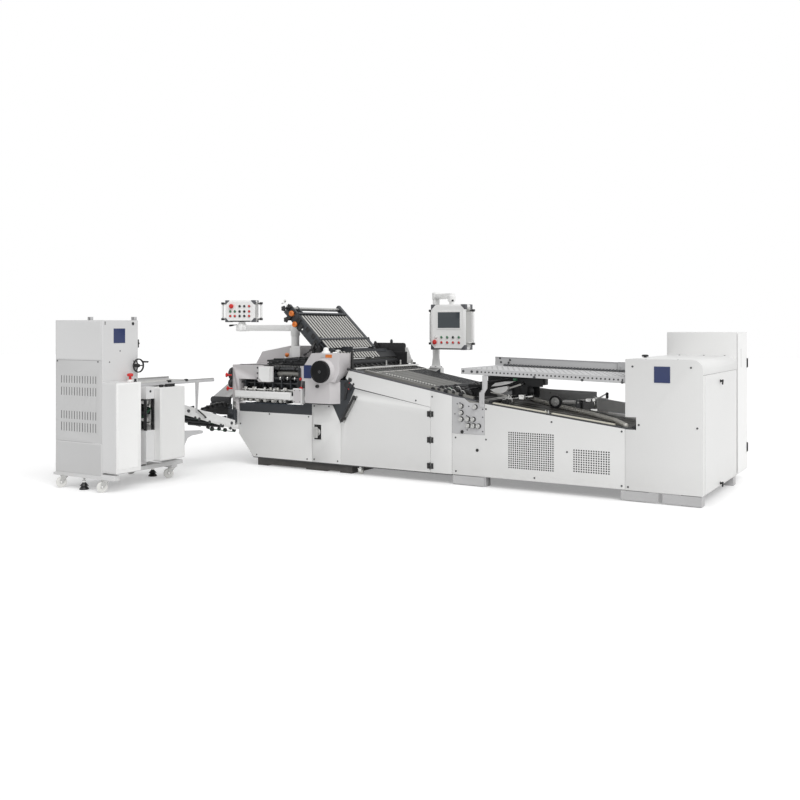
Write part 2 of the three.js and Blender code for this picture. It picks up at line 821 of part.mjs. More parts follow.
// Grey guard standing on the knife unit's deck, behind the post
function folder_rear_guard() {
  const low = knife_top + seat_gap;
  const start = knife_left;
  const end = knife_cheek_right - beam_width / 2;
  const points = rear_guard_shares.map(([along, up]) => [
    start + along * (end - start), low + up * rear_guard_height]);
  return piece('folder_rear_guard', wall_xz(points, rear_guard_y, rear_guard_y + sheet), head_paint());
}

// Black guard plate with rounded corners behind the top of the register table
function register_rear_guard() {
  const low = tower_height + seat_gap;
  const end = table_guard_start + table_guard_length;
  const corner = beam_width / 2;
  const front = frame_back - sheet * 2;
  const shape = new THREE.Shape();
  shape.moveTo(table_guard_start, low);
  shape.lineTo(end, low);
  shape.lineTo(end, low + table_guard_height / 2 - corner);
  shape.absarc(end - corner, low + table_guard_height / 2 - corner, corner, 0, Math.PI / 2);
  shape.lineTo(table_guard_start, low + table_guard_height / 2);
  return piece('register_rear_guard', wall_xz(shape, front, frame_back), black_plastic());
}

// Inclined register table with its grooved top, guide rail and dark cross rails
function register_table() {
  const run = register_length / Math.cos(table_slope);
  const depth = line_depth - sheet * 2 - seat_gap * 2;
  const notch = beam_width * 2.5;
  const top_depth = inner_back - beam_width - frame_front - seat_gap * 2;
  const top = block([0, run], [0, top_depth], [-table_thickness, 0]);
  const to_post = (right_post_x - register_start - right_flange_radius) / Math.cos(table_slope);
  const strip = block([notch, to_post - table_thickness], [depth / 2, depth], [-table_thickness, 0]);
  const grooves = table_groove_shares.map((share) => block([overrun * 4, run - overrun * 4],
    [share * depth, share * depth + beam_width / 3], [-table_thickness / 2, overrun]));
  const guide = block([notch, run * table_guide_share], [beam_width, beam_width * 1.5],
    [-overrun, table_thickness * 1.4]);
  const body = join(cut(join(top, strip), ...grooves), guide);
  const mesh = place(piece('register_table', body, bare_steel()),
    register_start, frame_front, register_height);
  mesh.rotation.y = table_slope;
  return mesh;
}

// Knife unit: front and back plates, two cheeks that carry the shafts, and the post's deck
function knife_frame() {
  const leg_end = knife_left + knife_leg;
  const arm_low = knife_top - knife_arm_height;
  const foot_low = knife_bed_height + seat_gap;
  const front = wall_xz([
    [knife_left, knife_leg_foot], [leg_end, knife_leg_foot], [leg_end, foot_low],
    [leg_end + knife_leg, foot_low], [leg_end + knife_leg, foot_low + knife_plate],
    [leg_end, foot_low + knife_plate], [leg_end, arm_low], [knife_left + knife_arm_length, arm_low],
    [knife_left + knife_arm_length, knife_top], [knife_left, knife_top],
  ], frame_front, frame_front + knife_plate);
  const back = wall_xz([
    [knife_left, knife_leg_foot], [leg_end, knife_leg_foot], [leg_end, foot_low],
    [knife_cheek_right, foot_low], [knife_cheek_right, knife_top], [knife_left, knife_top],
  ], frame_back - knife_plate, frame_back);
  const across = [frame_front + overrun, frame_back - overrun];
  const cheek = (x) => block([x, x + knife_plate], across, [knife_cheek_bottom, knife_top]);
  const right = block([knife_cheek_right - knife_plate, knife_cheek_right],
    [frame_front + knife_cheek_inset - ring_shaft_radius, frame_back - overrun],
    [knife_cheek_bottom, knife_top]);
  const deck = block([leg_end - knife_plate, knife_cheek_right], [knife_deck_front, knife_deck_back],
    [knife_top - knife_deck, knife_top]);
  const left_tie = block([knife_left, knife_left + knife_plate * 3], across,
    [knife_top - knife_deck * 3, knife_top]);
  const cover = cut(block([knife_cover_start, knife_cover_start + knife_cover_width],
    [-knife_cover_depth, frame_front + knife_plate],
    [knife_cover_low, knife_cover_low + knife_cover_height]),
  wall_xz([[knife_cover_start - overrun, knife_cover_low - overrun],
    [knife_cover_start + knife_cover_cut + overrun, knife_cover_low - overrun],
    [knife_cover_start - overrun, knife_cover_low + knife_cover_cut + overrun]],
  -knife_cover_depth - overrun, frame_front + knife_plate + overrun));
  const holes = shaft_places().map(([y, z]) => rod([knife_left, y, z],
    [knife_cheek_right + overrun, y, z], journal_radius + bore_gap));
  const slots = [leg_end, knife_cheek_right].map((x) => block(
    [x - knife_plate - overrun, x + overrun],
    [knife_blade_y - knife_blade * 2 - seat_gap, knife_blade_y + knife_blade * 2 + seat_gap],
    [knife_blade_top - knife_beam_height - knife_stroke - overrun, knife_blade_top + overrun]));
  return piece('knife_frame', cut(
    join(front, back, cheek(leg_end - knife_plate), right, deck, left_tie, cover), ...holes, ...slots),
  head_paint());
}

// Y and Z of the four shafts between the knife unit's cheeks
function shaft_places() {
  const reach = knife_roller_radius + seat_gap;
  return [
    [knife_blade_y - reach, knife_roller_z], [knife_blade_y + reach, knife_roller_z],
    [ring_y, ring_upper_z], [ring_y, ring_upper_z - ring_radius * 2 - seat_gap],
  ];
}

// White rail across the knife unit's front, its end arm and the trip box
function knife_rail() {
  const rail = block([rail_start, rail_start + rail_length], [-rail_depth, 0],
    [rail_low, rail_low + rail_height]);
  const arm = block([rail_start + rail_length - overrun, head_start + beam_width / 2],
    [-sheet, sheet], [rail_low, rail_low + rail_height / 2]);
  const box = block([trip_box_start, trip_box_start + trip_box_width], [-trip_box_depth, sheet],
    [trip_box_low, trip_box_low + trip_box_height]);
  return piece('knife_rail', join(rail, arm, box), white_paint());
}

// Folding knife: a blade under its beam, with guide tongues in the cheeks' slots
function fold_knife() {
  const from = knife_left + knife_leg + seat_gap;
  const to = knife_cheek_right - knife_plate - seat_gap;
  const blade_low = knife_blade_top - knife_blade_height;
  const blade = block([from + knife_plate, to - knife_plate], [-knife_blade / 2, knife_blade / 2],
    [blade_low, knife_blade_top - overrun]);
  const beam = block([from, to], [-knife_beam_depth / 2, knife_beam_depth / 2],
    [knife_blade_top - knife_beam_height, knife_blade_top]);
  const tongues = block([from - knife_plate, to + knife_plate], [-knife_blade * 2, knife_blade * 2],
    [knife_blade_top - knife_beam_height + overrun, knife_blade_top - overrun]);
  return place(piece('fold_knife', join(blade, beam, tongues), bare_steel()), 0, knife_blade_y, 0);
}

// A shaft of the knife unit with its journals, from cheek to cheek
function knife_shaft(radius) {
  const from = knife_left + knife_leg + roller_end_gap;
  const to = knife_cheek_right - knife_plate - roller_end_gap;
  const journal = roller_end_gap + knife_plate;
  return join(rod([from, 0, 0], [to, 0, 0], radius),
    rod([from - journal, 0, 0], [to + journal, 0, 0], journal_radius));
}

function knife_roller(name, [y, z]) {
  return place(piece(name, knife_shaft(knife_roller_radius), rubber()), 0, y, z);
}

function ring_roller(name, [y, z]) {
  const from = knife_left + knife_leg + knife_leg;
  const span = knife_cheek_right - knife_leg - from;
  const rings = Array.from({ length: ring_count }, (_, i) => {
    const x = from + span * i / (ring_count - 1) - ring_width / 2;
    return rod([x, 0, 0], [x + ring_width, 0, 0], ring_radius, ring_sides);
  });
  return place(piece(name, join(knife_shaft(ring_shaft_radius), ...rings), bare_steel()), 0, y, z);
}

// Sloping delivery deck at the left end: a wedge with a rounded nose towards the operator
function delivery_deck() {
  const right = knife_left - seat_gap;
  const half = deck_nose / 2;
  const nose = new THREE.Shape();
  nose.absarc(right - deck_width + half, deck_nose_z, half, Math.PI / 2, Math.PI * 1.5);
  nose.lineTo(right, deck_nose_z - half);
  nose.lineTo(right, deck_nose_z + half);
  const top = deck_nose_z + half;
  const slope = wall_yz([
    [deck_front + overrun, top - half], [deck_back, top - half + deck_rise], [deck_back, top + deck_rise],
    [deck_front + overrun, top],
  ], right - deck_width + half, right);
  const edge = wall_xz(nose, deck_front, deck_front + half);
  return piece('delivery_deck', join(edge, slope), bare_steel());
}

// Inclined delivery conveyor: two side rails, a slider bed, a tail plate and its hanging bracket
function conveyor_line(y) {
  return conveyor_tail_z + (conveyor_head_z - conveyor_tail_z) * (conveyor_tail_y - y)
    / (conveyor_tail_y - conveyor_head_y);
}

function conveyor_frame() {
  const half = conveyor_height / 2;
  const band = (from, to, rise) => [
    [from, conveyor_line(from) - rise], [to, conveyor_line(to) - rise],
    [to, conveyor_line(to) + rise], [from, conveyor_line(from) + rise],
  ];
  const side = band(conveyor_head_y, conveyor_tail_y, half);
  const left = conveyor_right - conveyor_width;
  const rails = [left, conveyor_right - conveyor_rail].map((x) => wall_yz(side, x, x + conveyor_rail));
  const bed_start = conveyor_head_y + conveyor_roller_radius * 3;
  const bed_end = conveyor_tail_y - conveyor_rail;
  const bed = wall_yz(band(bed_start, bed_end, conveyor_bed), left, conveyor_right);
  const hanger_top = knife_leg_foot - seat_gap;
  const hanger_low = conveyor_line(conveyor_tail_y) - half;
  const hanger = join(
    block([knife_left, conveyor_right], [conveyor_tail_y - conveyor_rail, frame_front + knife_plate],
      [hanger_low, hanger_low + half]),
    block([knife_left, conveyor_right], [frame_front, frame_front + knife_plate],
      [hanger_low, hanger_top]));
  const hole_y = conveyor_head_y + conveyor_roller_radius * 1.5;
  const hole = rod([left - overrun, hole_y, conveyor_line(hole_y)],
    [conveyor_right + overrun, hole_y, conveyor_line(hole_y)], journal_radius + bore_gap);
  return piece('conveyor_frame', cut(join(...rails, bed, hanger), hole), cover_paint());
}

function conveyor_roller() {
  const left = conveyor_right - conveyor_width;
  const y = conveyor_head_y + conveyor_roller_radius * 1.5;
  const from = left + conveyor_rail + roller_end_gap;
  const to = conveyor_right - conveyor_rail - roller_end_gap;
  const body = join(rod([from, 0, 0], [to, 0, 0], conveyor_roller_radius),
    rod([left, 0, 0], [conveyor_right, 0, 0], journal_radius));
  return place(piece('conveyor_roller', body, rubber()), 0, y, conveyor_line(y));
}

// Side handles of a control box: a bar on two stubs, at both ends
function box_handles(width, height, low) {
  const reach = height * box_handle_share / 2;
  const middle = low + height / 2;
  return [-1, 1].flatMap((side) => {
    const x = side * (width / 2 + box_handle_gap);
    const root = side * (width / 2 - box_corner);
    return [
      rod([x, 0, middle - reach], [x, 0, middle + reach], box_handle_radius, small_sides),
      ...[-1, 1].map((end) => rod([root, 0, middle + end * (reach - box_handle_radius)],
        [x, 0, middle + end * (reach - box_handle_radius)], box_handle_radius, small_sides)),
    ];
  });
}

function control_box(name, width, depth, height, low, stop_place, pivot) {
  const hole = rod([stop_place[0], -depth / 2 - overrun, stop_place[1]],
    [stop_place[0], -depth / 2 + stop_depth, stop_place[1]], stop_stem + bore_gap);
  const shell = rounded_block(width, depth, height, box_corner).translate([0, 0, low]);
  const handles = box_handles(width, height, low);
  return piece(name, cut(join(shell, pivot, ...handles), hole), white_paint());
}

// Mushroom stop button, its stem in the control box's hole
function stop_button(name, depth) {
  const cap = turned([
    [0, 0], [stop_radius * 0.6, 0], [stop_radius * 0.75, stop_depth / 3], [stop_radius, stop_depth / 2],
    [stop_radius, stop_depth * 0.75], [stop_radius * 0.7, stop_depth], [0, stop_depth * 1.08],
  ].map(([r, z]) => [r, z + stop_travel + seat_gap]));
  const stem = rod([0, 0, seat_gap - stop_depth / 2], [0, 0, stop_travel + stop_depth / 2],
    stop_stem, small_sides);
  const mesh = place(piece(name, join(cap, stem), stop_red()), 0, -depth / 2, 0);
  mesh.rotation.x = Math.PI / 2;
  return mesh;
}

// Left control unit: the post turns with its arm, the box turns on the arm's end
function left_control_unit() {
  const unit = new THREE.Group();
  unit.position.set(left_post_x, left_post_y, 0);
  const foot_low = knife_top + seat_gap;
  const half = left_post_foot / 2;
  const reach = left_arm_length;
  const arm_top = left_arm_low + left_arm_height;
  const foot = block([-half, half], [-half, half], [foot_low, foot_low + left_post_foot_height]);
  const post = rod([0, 0, foot_low + left_post_foot_height / 2], [0, 0, arm_top], left_post_radius);
  const arm = block([-reach - left_arm_width / 2, 0], [-left_arm_width / 2, left_arm_width / 2],
    [left_arm_low, arm_top]);
  unit.add(piece('left_box_arm', join(foot, post, arm), white_paint()));
  const turning = new THREE.Group();
  turning.position.set(-reach, 0, arm_top + seat_gap);
  turning.rotation.z = left_box_turn;
  const pivot = rod([0, 0, 0], [0, 0, box_lift + box_corner], pivot_radius);
  const stop_place = [left_box_width * left_stop_shares[0],
    box_lift + left_box_height * left_stop_shares[1]];
  turning.add(control_box('left_control_box', left_box_width, left_box_depth, left_box_height, box_lift,
    stop_place, pivot));
  const button = stop_button('left_stop_button', left_box_depth);
  button.position.x = stop_place[0];
  button.position.z = stop_place[1];
  turning.add(button);
  unit.add(turning);
  return unit;
}

// Right control unit: fixed post and flange, an arm that turns on it, and the screen box
function right_control_unit() {
  const unit = new THREE.Group();
  unit.position.set(right_post_x, inner_back - beam_width / 3, 0);
  const foot_low = right_post_pad + seat_gap;
  const flange = rod([0, 0, foot_low], [0, 0, foot_low + right_flange_height],
    right_flange_radius * 0.95);
  const post = rod([0, 0, foot_low + right_flange_height / 2], [0, 0, right_post_top], right_post_radius);
  const pin = rod([0, 0, right_post_top - overrun], [0, 0, right_post_top + right_arm_height / 2],
    right_post_radius / 2);
  unit.add(piece('right_box_post', join(flange, post, pin), white_paint()));
  const arm_low = right_post_top + seat_gap;
  const arm_top = arm_low + right_arm_height;
  const swing = new THREE.Group();
  swing.rotation.z = right_arm_turn;
  const half = right_arm_width / 2;
  const arm = join(
    block([0, right_arm_reach], [-half, half], [arm_low, arm_top]),
    rod([0, 0, arm_low], [0, 0, arm_top + overrun], half * 1.2),
    rod([right_arm_reach, 0, arm_low - right_drop], [right_arm_reach, 0, arm_top], half));
  const socket = rod([0, 0, arm_low - overrun], [0, 0, right_post_top + right_arm_height / 2 + seat_gap],
    right_post_radius / 2 + bore_gap);
  swing.add(piece('right_box_arm', cut(arm, socket), white_paint()));
  const turning = new THREE.Group();
  turning.position.set(right_arm_reach, 0, right_box_low);
  turning.rotation.z = right_box_turn - right_arm_turn;
  const pivot = rod([0, 0, right_box_height - box_corner], [0, 0, right_box_height + box_lift],
    pivot_radius);
  const stop_place = [right_box_width * right_stop_shares[0], right_box_height * right_stop_shares[1]];
  turning.add(control_box('right_control_box', right_box_width, right_box_depth, right_box_height, 0,
    stop_place, pivot));
  const button = stop_button('right_stop_button', right_box_depth);
  button.position.x = stop_place[0];
  button.position.z = stop_place[1];
  turning.add(button);
  swing.add(turning);
  unit.add(swing);
  return unit;
}

// The feeder's frame: side plates, cross beams and feet
function feeder_side(y0, y1) {
  const start = feeder_x + seat_gap / 2;
  const table_end = register_start + register_length + table_thickness / 2;
  const sunk = (x) => feeder_line(x) - return_sink;
  const edge = sheet * 2;
  const frame_top = cabinet_top - sheet - seat_gap;
  return wall_xz([
    [start, foot_height], [end_x - edge, foot_height],
    [end_x - edge, cabinet_top - cabinet_corner - edge],
    [end_x - cabinet_corner, frame_top], [cabinet_x + edge, frame_top],
    [cabinet_x + edge, notch_high + edge], [cabinet_x + notch_width + edge, notch_high + edge],
    [cabinet_x + notch_width + edge, sunk(cabinet_x + notch_width + edge)], [cabinet_x, sunk(cabinet_x)],
    [table_end + table_thickness, sunk(table_end + table_thickness)],
    [table_end, under_table(table_end)], [start, under_table(start)],
  ], y0, y1);
}

function feeder_frame() {
  const across = [inner_front - overrun, inner_back + overrun];
  const low = foot_height;
  const under_loading = loading_height - (cabinet_x - loading_start) * Math.sin(loading_slope);
  const beams = [
    [feeder_x + beam_width, low], [cabinet_x - beam_width, low], [end_x - sheet * 2 - beam_width, low],
    [feeder_x + beam_width, valve_plate_low], [cabinet_x - beam_width * 3, valve_plate_low - beam_width],
    [end_x - sheet * 2 - beam_width, drum_cover_end - beam_width * 1.5],
    [cabinet_x + sheet * 2, under_loading - beam_width],
  ].map(([x, z]) => block([x, x + beam_width], across, [z, z + beam_width]));
  const foot = (x, width, y) => block([x, x + width], [y, y + foot_depth], [0, foot_height + overrun]);
  const feet = [frame_front + sheet * 2, frame_back - foot_depth].flatMap((y) => [
    foot(feeder_x + sheet * 2, foot_width, y), foot(cabinet_x, foot_width / 2, y),
    foot(end_x - foot_width / 2 - sheet * 4, foot_width / 2, y)]);
  const journal = rod([drum_x, frame_front - overrun, drum_z], [drum_x, frame_back + overrun, drum_z],
    drum_core_radius + bore_gap);
  return piece('feeder_frame', cut(join(feeder_side(frame_front, inner_front),
    feeder_side(inner_back, frame_back), ...beams, ...feet), journal), dark_frame());
}

function feeder_front_panel() {
  const seam = cover_seam / 2;
  const inner_x = feeder_x + valve_plate_width;
  return piece('feeder_front_panel', wall_xz([
    [feeder_x + seam, panel_bottom + sheet], [cabinet_x - seam, panel_bottom + sheet],
    [cabinet_x - seam, feeder_line(cabinet_x)], [inner_x + seam, feeder_line(inner_x)],
    [inner_x + seam, valve_plate_low - seam], [feeder_x + seam, valve_plate_low - seam],
  ], 0, sheet), cover_paint());
}

// Grey valve plate, and the bent post that rises from it to the loading table's rail
function valve_plate() {
  const seam = cover_seam / 2;
  const left = feeder_x + seam;
  const right = feeder_x + valve_plate_width - seam;
  const plate = wall_xz([
    [left, valve_plate_low + seam], [right, valve_plate_low + seam],
    [right, feeder_line(right) + overrun], [right - valve_post_width * 3, feeder_edge_high + overrun],
    [right - valve_post_width * 4, register_line(feeder_x) - overrun * 3],
    [left, register_line(feeder_x) - sheet],
  ], 0, sheet);
  const low = feeder_edge_high - valve_post_jog;
  const bend = valve_post_bend;
  const right_high = right + valve_post_jog;
  const left_high = right_high - valve_post_width;
  const top = loading_height - (right_high - loading_start) * Math.tan(loading_slope)
    - (loading_edge + seat_gap) / Math.cos(loading_slope);
  const post = wall_xz([
    [right - valve_post_width, low], [right, low], [right, bend],
    [right_high, bend + valve_post_jog * 1.6], [right_high, top], [left_high, top],
    [left_high, bend + valve_post_jog * 1.3], [right - valve_post_width, bend + overrun],
  ], -overrun, sheet);
  const shelf = block([left_high, right_high], [-overrun, loading_front + loading_edge],
    [top - overrun, top]);
  return piece('valve_plate', join(plate, post, shelf), head_paint());
}

// Outline of the turning cabinet's side, with its rounded corner and the notch for the table
function cabinet_outline(inset) {
  const shape = new THREE.Shape();
  const seam = cover_seam / 2;
  shape.moveTo(cabinet_x + seam, panel_bottom);
  shape.lineTo(end_x, panel_bottom);
  shape.lineTo(end_x, cabinet_top - cabinet_corner);
  shape.absarc(end_x - cabinet_corner, cabinet_top - cabinet_corner, cabinet_corner, 0, Math.PI / 2);
  shape.lineTo(cabinet_x + seam, cabinet_top - inset);
  shape.lineTo(cabinet_x + seam, notch_high);
  shape.lineTo(cabinet_x + notch_width, notch_high);
  shape.lineTo(cabinet_x + notch_width, notch_low);
  shape.lineTo(cabinet_x + seam, notch_low);
  return shape;
}

function feeder_cheek() {
  return piece('feeder_cheek', wall_xz(cabinet_outline(0), 0, sheet), head_paint());
}

// Curved sheet cover over the turning drum
function drum_cover() {
  const radius = cabinet_corner - sheet;
  const shape = new THREE.Shape();
  const corner_x = end_x - cabinet_corner;
  const corner_z = cabinet_top - cabinet_corner;
  shape.moveTo(cabinet_x + cover_seam, cabinet_top);
  shape.lineTo(cabinet_x + cover_seam, cabinet_top - sheet);
  shape.lineTo(corner_x, cabinet_top - sheet);
  shape.absarc(corner_x, corner_z, radius, Math.PI / 2, 0, true);
  shape.lineTo(end_x - sheet, drum_cover_end);
  shape.lineTo(end_x, drum_cover_end);
  shape.lineTo(end_x, corner_z);
  shape.absarc(corner_x, corner_z, cabinet_corner, 0, Math.PI / 2);
  const skin = wall_xz(shape, frame_front, frame_back);
  const lip = block([cabinet_x + cover_seam, cabinet_x + cover_seam + sheet], [inner_front, inner_back],
    [cabinet_top - beam_width * 0.7, cabinet_top - sheet / 2]);
  return piece('drum_cover', join(skin, lip), white_paint());
}

// Lift-off end cover, with its top and bottom edges folded in
function feeder_end_cover() {
  const top = drum_cover_end - cover_seam;
  const leaf = block([end_x - sheet, end_x], [end_door_inset, line_depth - end_door_inset / 2],
    [panel_bottom, top]);
  const edges = [foot_height + sheet, drum_cover_end - beam_width].map((z) => block(
    [end_x - sheet * 2 + seat_gap, end_x - sheet / 2], [end_door_inset, line_depth - end_door_inset / 2],
    [z, z + beam_width / 2]));
  return piece('feeder_end_cover', join(leaf, ...edges), white_paint());
}

// Tall pump cabinet behind the feeder, open towards its door
function pump_cabinet() {
  const [x0, x1] = [end_x - pump_length, end_x - sheet - seat_gap];
  const [y0, y1] = [frame_back + seat_gap, line_depth + pump_depth];
  const wall = sheet;
  const shell = block([x0, x1], [y0, y1], [panel_bottom, pump_top]);
  const room = block([x0 + wall, x1 + overrun], [y0 + wall, y1 - wall],
    [panel_bottom + wall, pump_top - wall]);
  return piece('pump_cabinet', cut(shell, room), white_paint());
}

function pump_cabinet_door() {
  const [y0, y1] = [line_depth + seat_gap, line_depth + pump_depth];
  const leaf = block([-sheet, 0], [y0 - y1, 0], [panel_bottom, pump_top]);
  const knuckles = pump_knuckle_shares.map((share) => {
    const z = panel_bottom + share * (pump_top - panel_bottom);
    return rod([0, 0, z - beam_width / 2], [0, 0, z + beam_width / 2], sheet, small_sides);
  });
  return place(piece('pump_cabinet_door', join(leaf, ...knuckles), white_paint()), end_x, y1, 0);
}

// Turning drum: wide discs on a core shaft, for the belts that turn the sheets over
function turning_drum() {
  const length = inner_back - inner_front - roller_end_gap * 2;
  const discs = Array.from({ length: drum_disc_count }, (_, i) => {
    const y = (length - drum_disc_width) * i / (drum_disc_count - 1);
    return rod([0, y, 0], [0, y + drum_disc_width, 0], drum_radius, round_sides * 1.5);
  });
  const journal = roller_end_gap + frame_plate;
  const core = rod([0, -journal, 0], [0, length + journal, 0], drum_core_radius);
  return place(piece('turning_drum', join(core, ...discs), rubber()),
    drum_x, inner_front + roller_end_gap, drum_z);
}

// Loading table: deck, front rail, back fence and the two hangers of the suction wheel
function loading_table_unit() {
  const unit = new THREE.Group();
  unit.position.set(loading_start, loading_front, loading_height);
  unit.rotation.y = loading_slope;
  const length = (cabinet_x + sheet * 2 - seat_gap - loading_start) / Math.cos(loading_slope);
  const deck = block([0, length], [0, loading_depth], [-loading_deck, 0]);
  const front = block([0, length], [0, loading_edge / 2], [-loading_edge, 0]);
  const back = block([0, length], [loading_depth - loading_edge / 2, loading_depth], [-loading_edge, 0]);
  const fence = block([0, length * loading_fence_share], [loading_depth - sheet * 2, loading_depth],
    [-loading_deck, loading_fence]);
  const hangers = [hanger_near, hanger_far].map((y) => block(
    [hanger_x, hanger_x + hanger_length], [y, y + overrun * 2],
    [-hanger_drop - beam_width, -loading_deck / 2]));
  const axle_x = hanger_x + hanger_length / 2;
  const axle_hole = rod([axle_x, hanger_near - overrun, -hanger_drop],
    [axle_x, hanger_far + overrun * 3, -hanger_drop], journal_radius + bore_gap);
  unit.add(piece('loading_table', cut(join(deck, front, back, fence, ...hangers), axle_hole),
    head_paint()));
  const middle = (hanger_near + hanger_far + overrun * 2) / 2;
  const wheel = join(
    rod([0, middle - suction_width / 2, 0], [0, middle + suction_width / 2, 0], suction_radius),
    rod([0, hanger_near, 0], [0, hanger_far + overrun * 2, 0], journal_radius));
  unit.add(place(piece('suction_wheel', wheel, rubber()), axle_x, 0, -hanger_drop));
  return unit;
}

// Return table on the feeder's side plates, with its rear guard and the press wheel's stand
function return_line(x) {
  return feeder_line(x) - return_sink + seat_gap + table_thickness;
}

function return_table() {
  const start = feeder_return_start;
  const end = cabinet_x + notch_width + sheet;
  const slab = wall_xz([
    [start, return_line(start) - table_thickness], [end, return_line(end) - table_thickness],
    [end, return_line(end)], [start, return_line(start)],
  ], frame_front, frame_back);
  const guard_end = start + (end - start) * 0.6;
  const guard = wall_xz([
    [start, return_line(start) - overrun], [guard_end, return_line(guard_end) - overrun],
    [guard_end, return_line(guard_end) + return_guard_height],
    [start, return_line(start) + return_guard_height],
  ], return_guard_y, return_guard_y + sheet);
  const base = return_line(press_pivot_x);
  const ear_clear = press_arm_depth / 2 + seat_gap;
  const ears = [press_y - ear_clear - press_arm_depth, press_y + ear_clear]
    .map((y) => block([press_pivot_x - press_arm_depth, press_pivot_x + press_arm_depth],
      [y, y + press_arm_depth], [base - overrun, base + press_pivot_rise + press_arm_depth]));
  const hole_z = base + press_pivot_rise;
  const hole = rod([press_pivot_x, press_y - press_arm_depth * 2, hole_z],
    [press_pivot_x, press_y + press_arm_depth * 2, hole_z], press_axle_radius + bore_gap);
  return piece('return_table', cut(join(slab, guard, ...ears), hole), dark_frame());
}

function press_wheel_unit() {
  const unit = new THREE.Group();
  const pivot_z = return_line(press_pivot_x) + press_pivot_rise;
  unit.position.set(press_pivot_x, press_y, pivot_z);
  const wheel_z = return_line(press_wheel_x) + press_wheel_radius + seat_gap * 4;
  const reach = [press_wheel_x - press_pivot_x, wheel_z - pivot_z];
  const half = press_arm_depth / 2;
  const eye = half * 1.4;
  const lean = Math.atan2(-reach[1], -reach[0]);
  const side = [-Math.sin(lean) * eye, Math.cos(lean) * eye];
  const beam = wall_xz([
    [side[0], side[1]], [reach[0] + side[0], reach[1] + side[1]],
    [reach[0] - side[0], reach[1] - side[1]], [-side[0], -side[1]],
  ], -half, half);
  const pin = rod([0, -half - seat_gap - press_arm_depth, 0], [0, half + seat_gap + press_arm_depth, 0],
    press_axle_radius);
  const eyes = [[0, 0], reach].map(([x, z]) => rod([x, -half, z], [x, half, z], eye));
  const axle_far = -half - seat_gap * 2 - press_wheel_width;
  const axle = rod([reach[0], axle_far, reach[1]], [reach[0], half, reach[1]], press_axle_radius);
  unit.add(piece('press_wheel_arm', join(beam, pin, ...eyes, axle), bare_steel()));
  const tyre = cut(rod([0, -press_wheel_width, 0], [0, 0, 0], press_wheel_radius),
    rod([0, -press_wheel_width - overrun, 0], [0, overrun, 0], press_axle_radius + bore_gap));
  unit.add(place(piece('press_wheel', tyre, rubber()), reach[0], -half - seat_gap, reach[1]));
  return unit;
}

// X and Y of the two levelling feet under the chassis bars
function foot_places() {
  return [
    [tower_width * foot_front_share, foot_front_y],
    [tower_width * foot_rear_share, rear_bar_y + foot_rear_inset],
  ];
}

// Stacker: hollow tower and drive box on a chassis with cross bars and levelling feet
function stacker_body() {
  const wall = sheet * 2;
  const tower = cut(
    block([0, tower_width], [0, tower_depth], [tower_low, tower_top]),
    block([wall, tower_width - wall], [wall, tower_depth - wall],
      [tower_low + chassis_rail, tower_top - wall]),
    block([wall, tower_width - wall], [-overrun, wall + overrun], [louvre_low, louvre_high]),
    block([wall, tower_width - wall], [tower_depth - wall * 2, tower_depth + overrun],
      [tower_low + chassis_rail, louvre_low - wall * 2]));
  const drive = cut(
    block([tower_width - sheet, tower_width + drive_width - sheet - seat_gap], [0, drive_depth],
      [drive_low, drive_top]),
    block([tower_width + wall, tower_width + drive_width], [wall, drive_depth - wall],
      [drive_low + wall, drive_top - wall]));
  const middle = block([tower_width - wall, tower_width], [tower_depth - sheet, infeed_front + wall],
    [infeed_low - chassis_rail, infeed_low + (infeed_top - infeed_low) * middle_panel_share]);
  const rails = [0, tower_width - chassis_rail].map((x) => block([x, x + chassis_rail],
    [wall, chassis_depth], [tower_low, tower_low + chassis_rail]));
  const tail = block([0, tower_width], [chassis_depth - chassis_rail, chassis_depth],
    [tower_low, tower_low + chassis_rail]);
  const infeed = block([0, tower_width], [infeed_front, infeed_front + wall],
    [tower_low, infeed_low + chassis_rail]);
  const front_bar = block([-bar_reach_left, tower_width + bar_reach_right],
    [-sheet * 2, chassis_rail * 1.5], [caster_height, tower_low + seat_gap]);
  const bar_end = block([tower_width, tower_width + bar_reach_right], [0, chassis_rail * 1.5],
    [caster_height, drive_low - wall * 3]);
  const rear_bar = block([0, tower_width], [rear_bar_y, rear_bar_y + chassis_rail * 2],
    [caster_height, tower_low + seat_gap]);
  const crank_bore = rod([tower_width - wall * 2, crank_y, crank_height],
    [tower_width + overrun, crank_y, crank_height], journal_radius + bore_gap);
  const feet = foot_places().map(([x, y]) => join(
    rod([x, y, foot_low + foot_cone / 2], [x, y, tower_low + wall], journal_radius, small_sides),
    rod([x, y, foot_low], [x, y, foot_low + foot_cone], foot_cone_radius, small_sides, journal_radius)));
  return piece('stacker_body', cut(join(tower, drive, middle, ...rails, tail, infeed, front_bar, bar_end,
    rear_bar, ...feet), crank_bore), cover_paint());
}

// Louvred front panel of the tower
function stacker_louvre_panel() {
  const seam = cover_seam;
  const wall = sheet * 2;
  const panel = block([wall + seam, tower_width - wall - seam], [0, sheet],
    [louvre_low + seam, louvre_high - seam]);
  const returns = [wall + seat_gap, tower_width - wall - seat_gap - sheet].map((x) => block(
    [x, x + sheet], [sheet / 2, beam_width / 2], [louvre_low + beam_width, louvre_high - beam_width]));
  const rise = louvre_high - louvre_low;
  const half = louvre_slot_width / 2;
  const [first, last] = louvre_slot_shares;
  const slot_places = Array.from({ length: louvre_slot_count },
    (_, i) => tower_width * (first + (last - first) * i / (louvre_slot_count - 1)));
  const slots = louvre_row_shares.flatMap(([low, high]) => slot_places.map((x) => block(
    [x - half, x + half], [-overrun, sheet + overrun],
    [louvre_low + low * rise, louvre_low + high * rise])));
  return piece('stacker_louvre_panel', cut(join(panel, ...returns), ...slots), cover_paint());
}

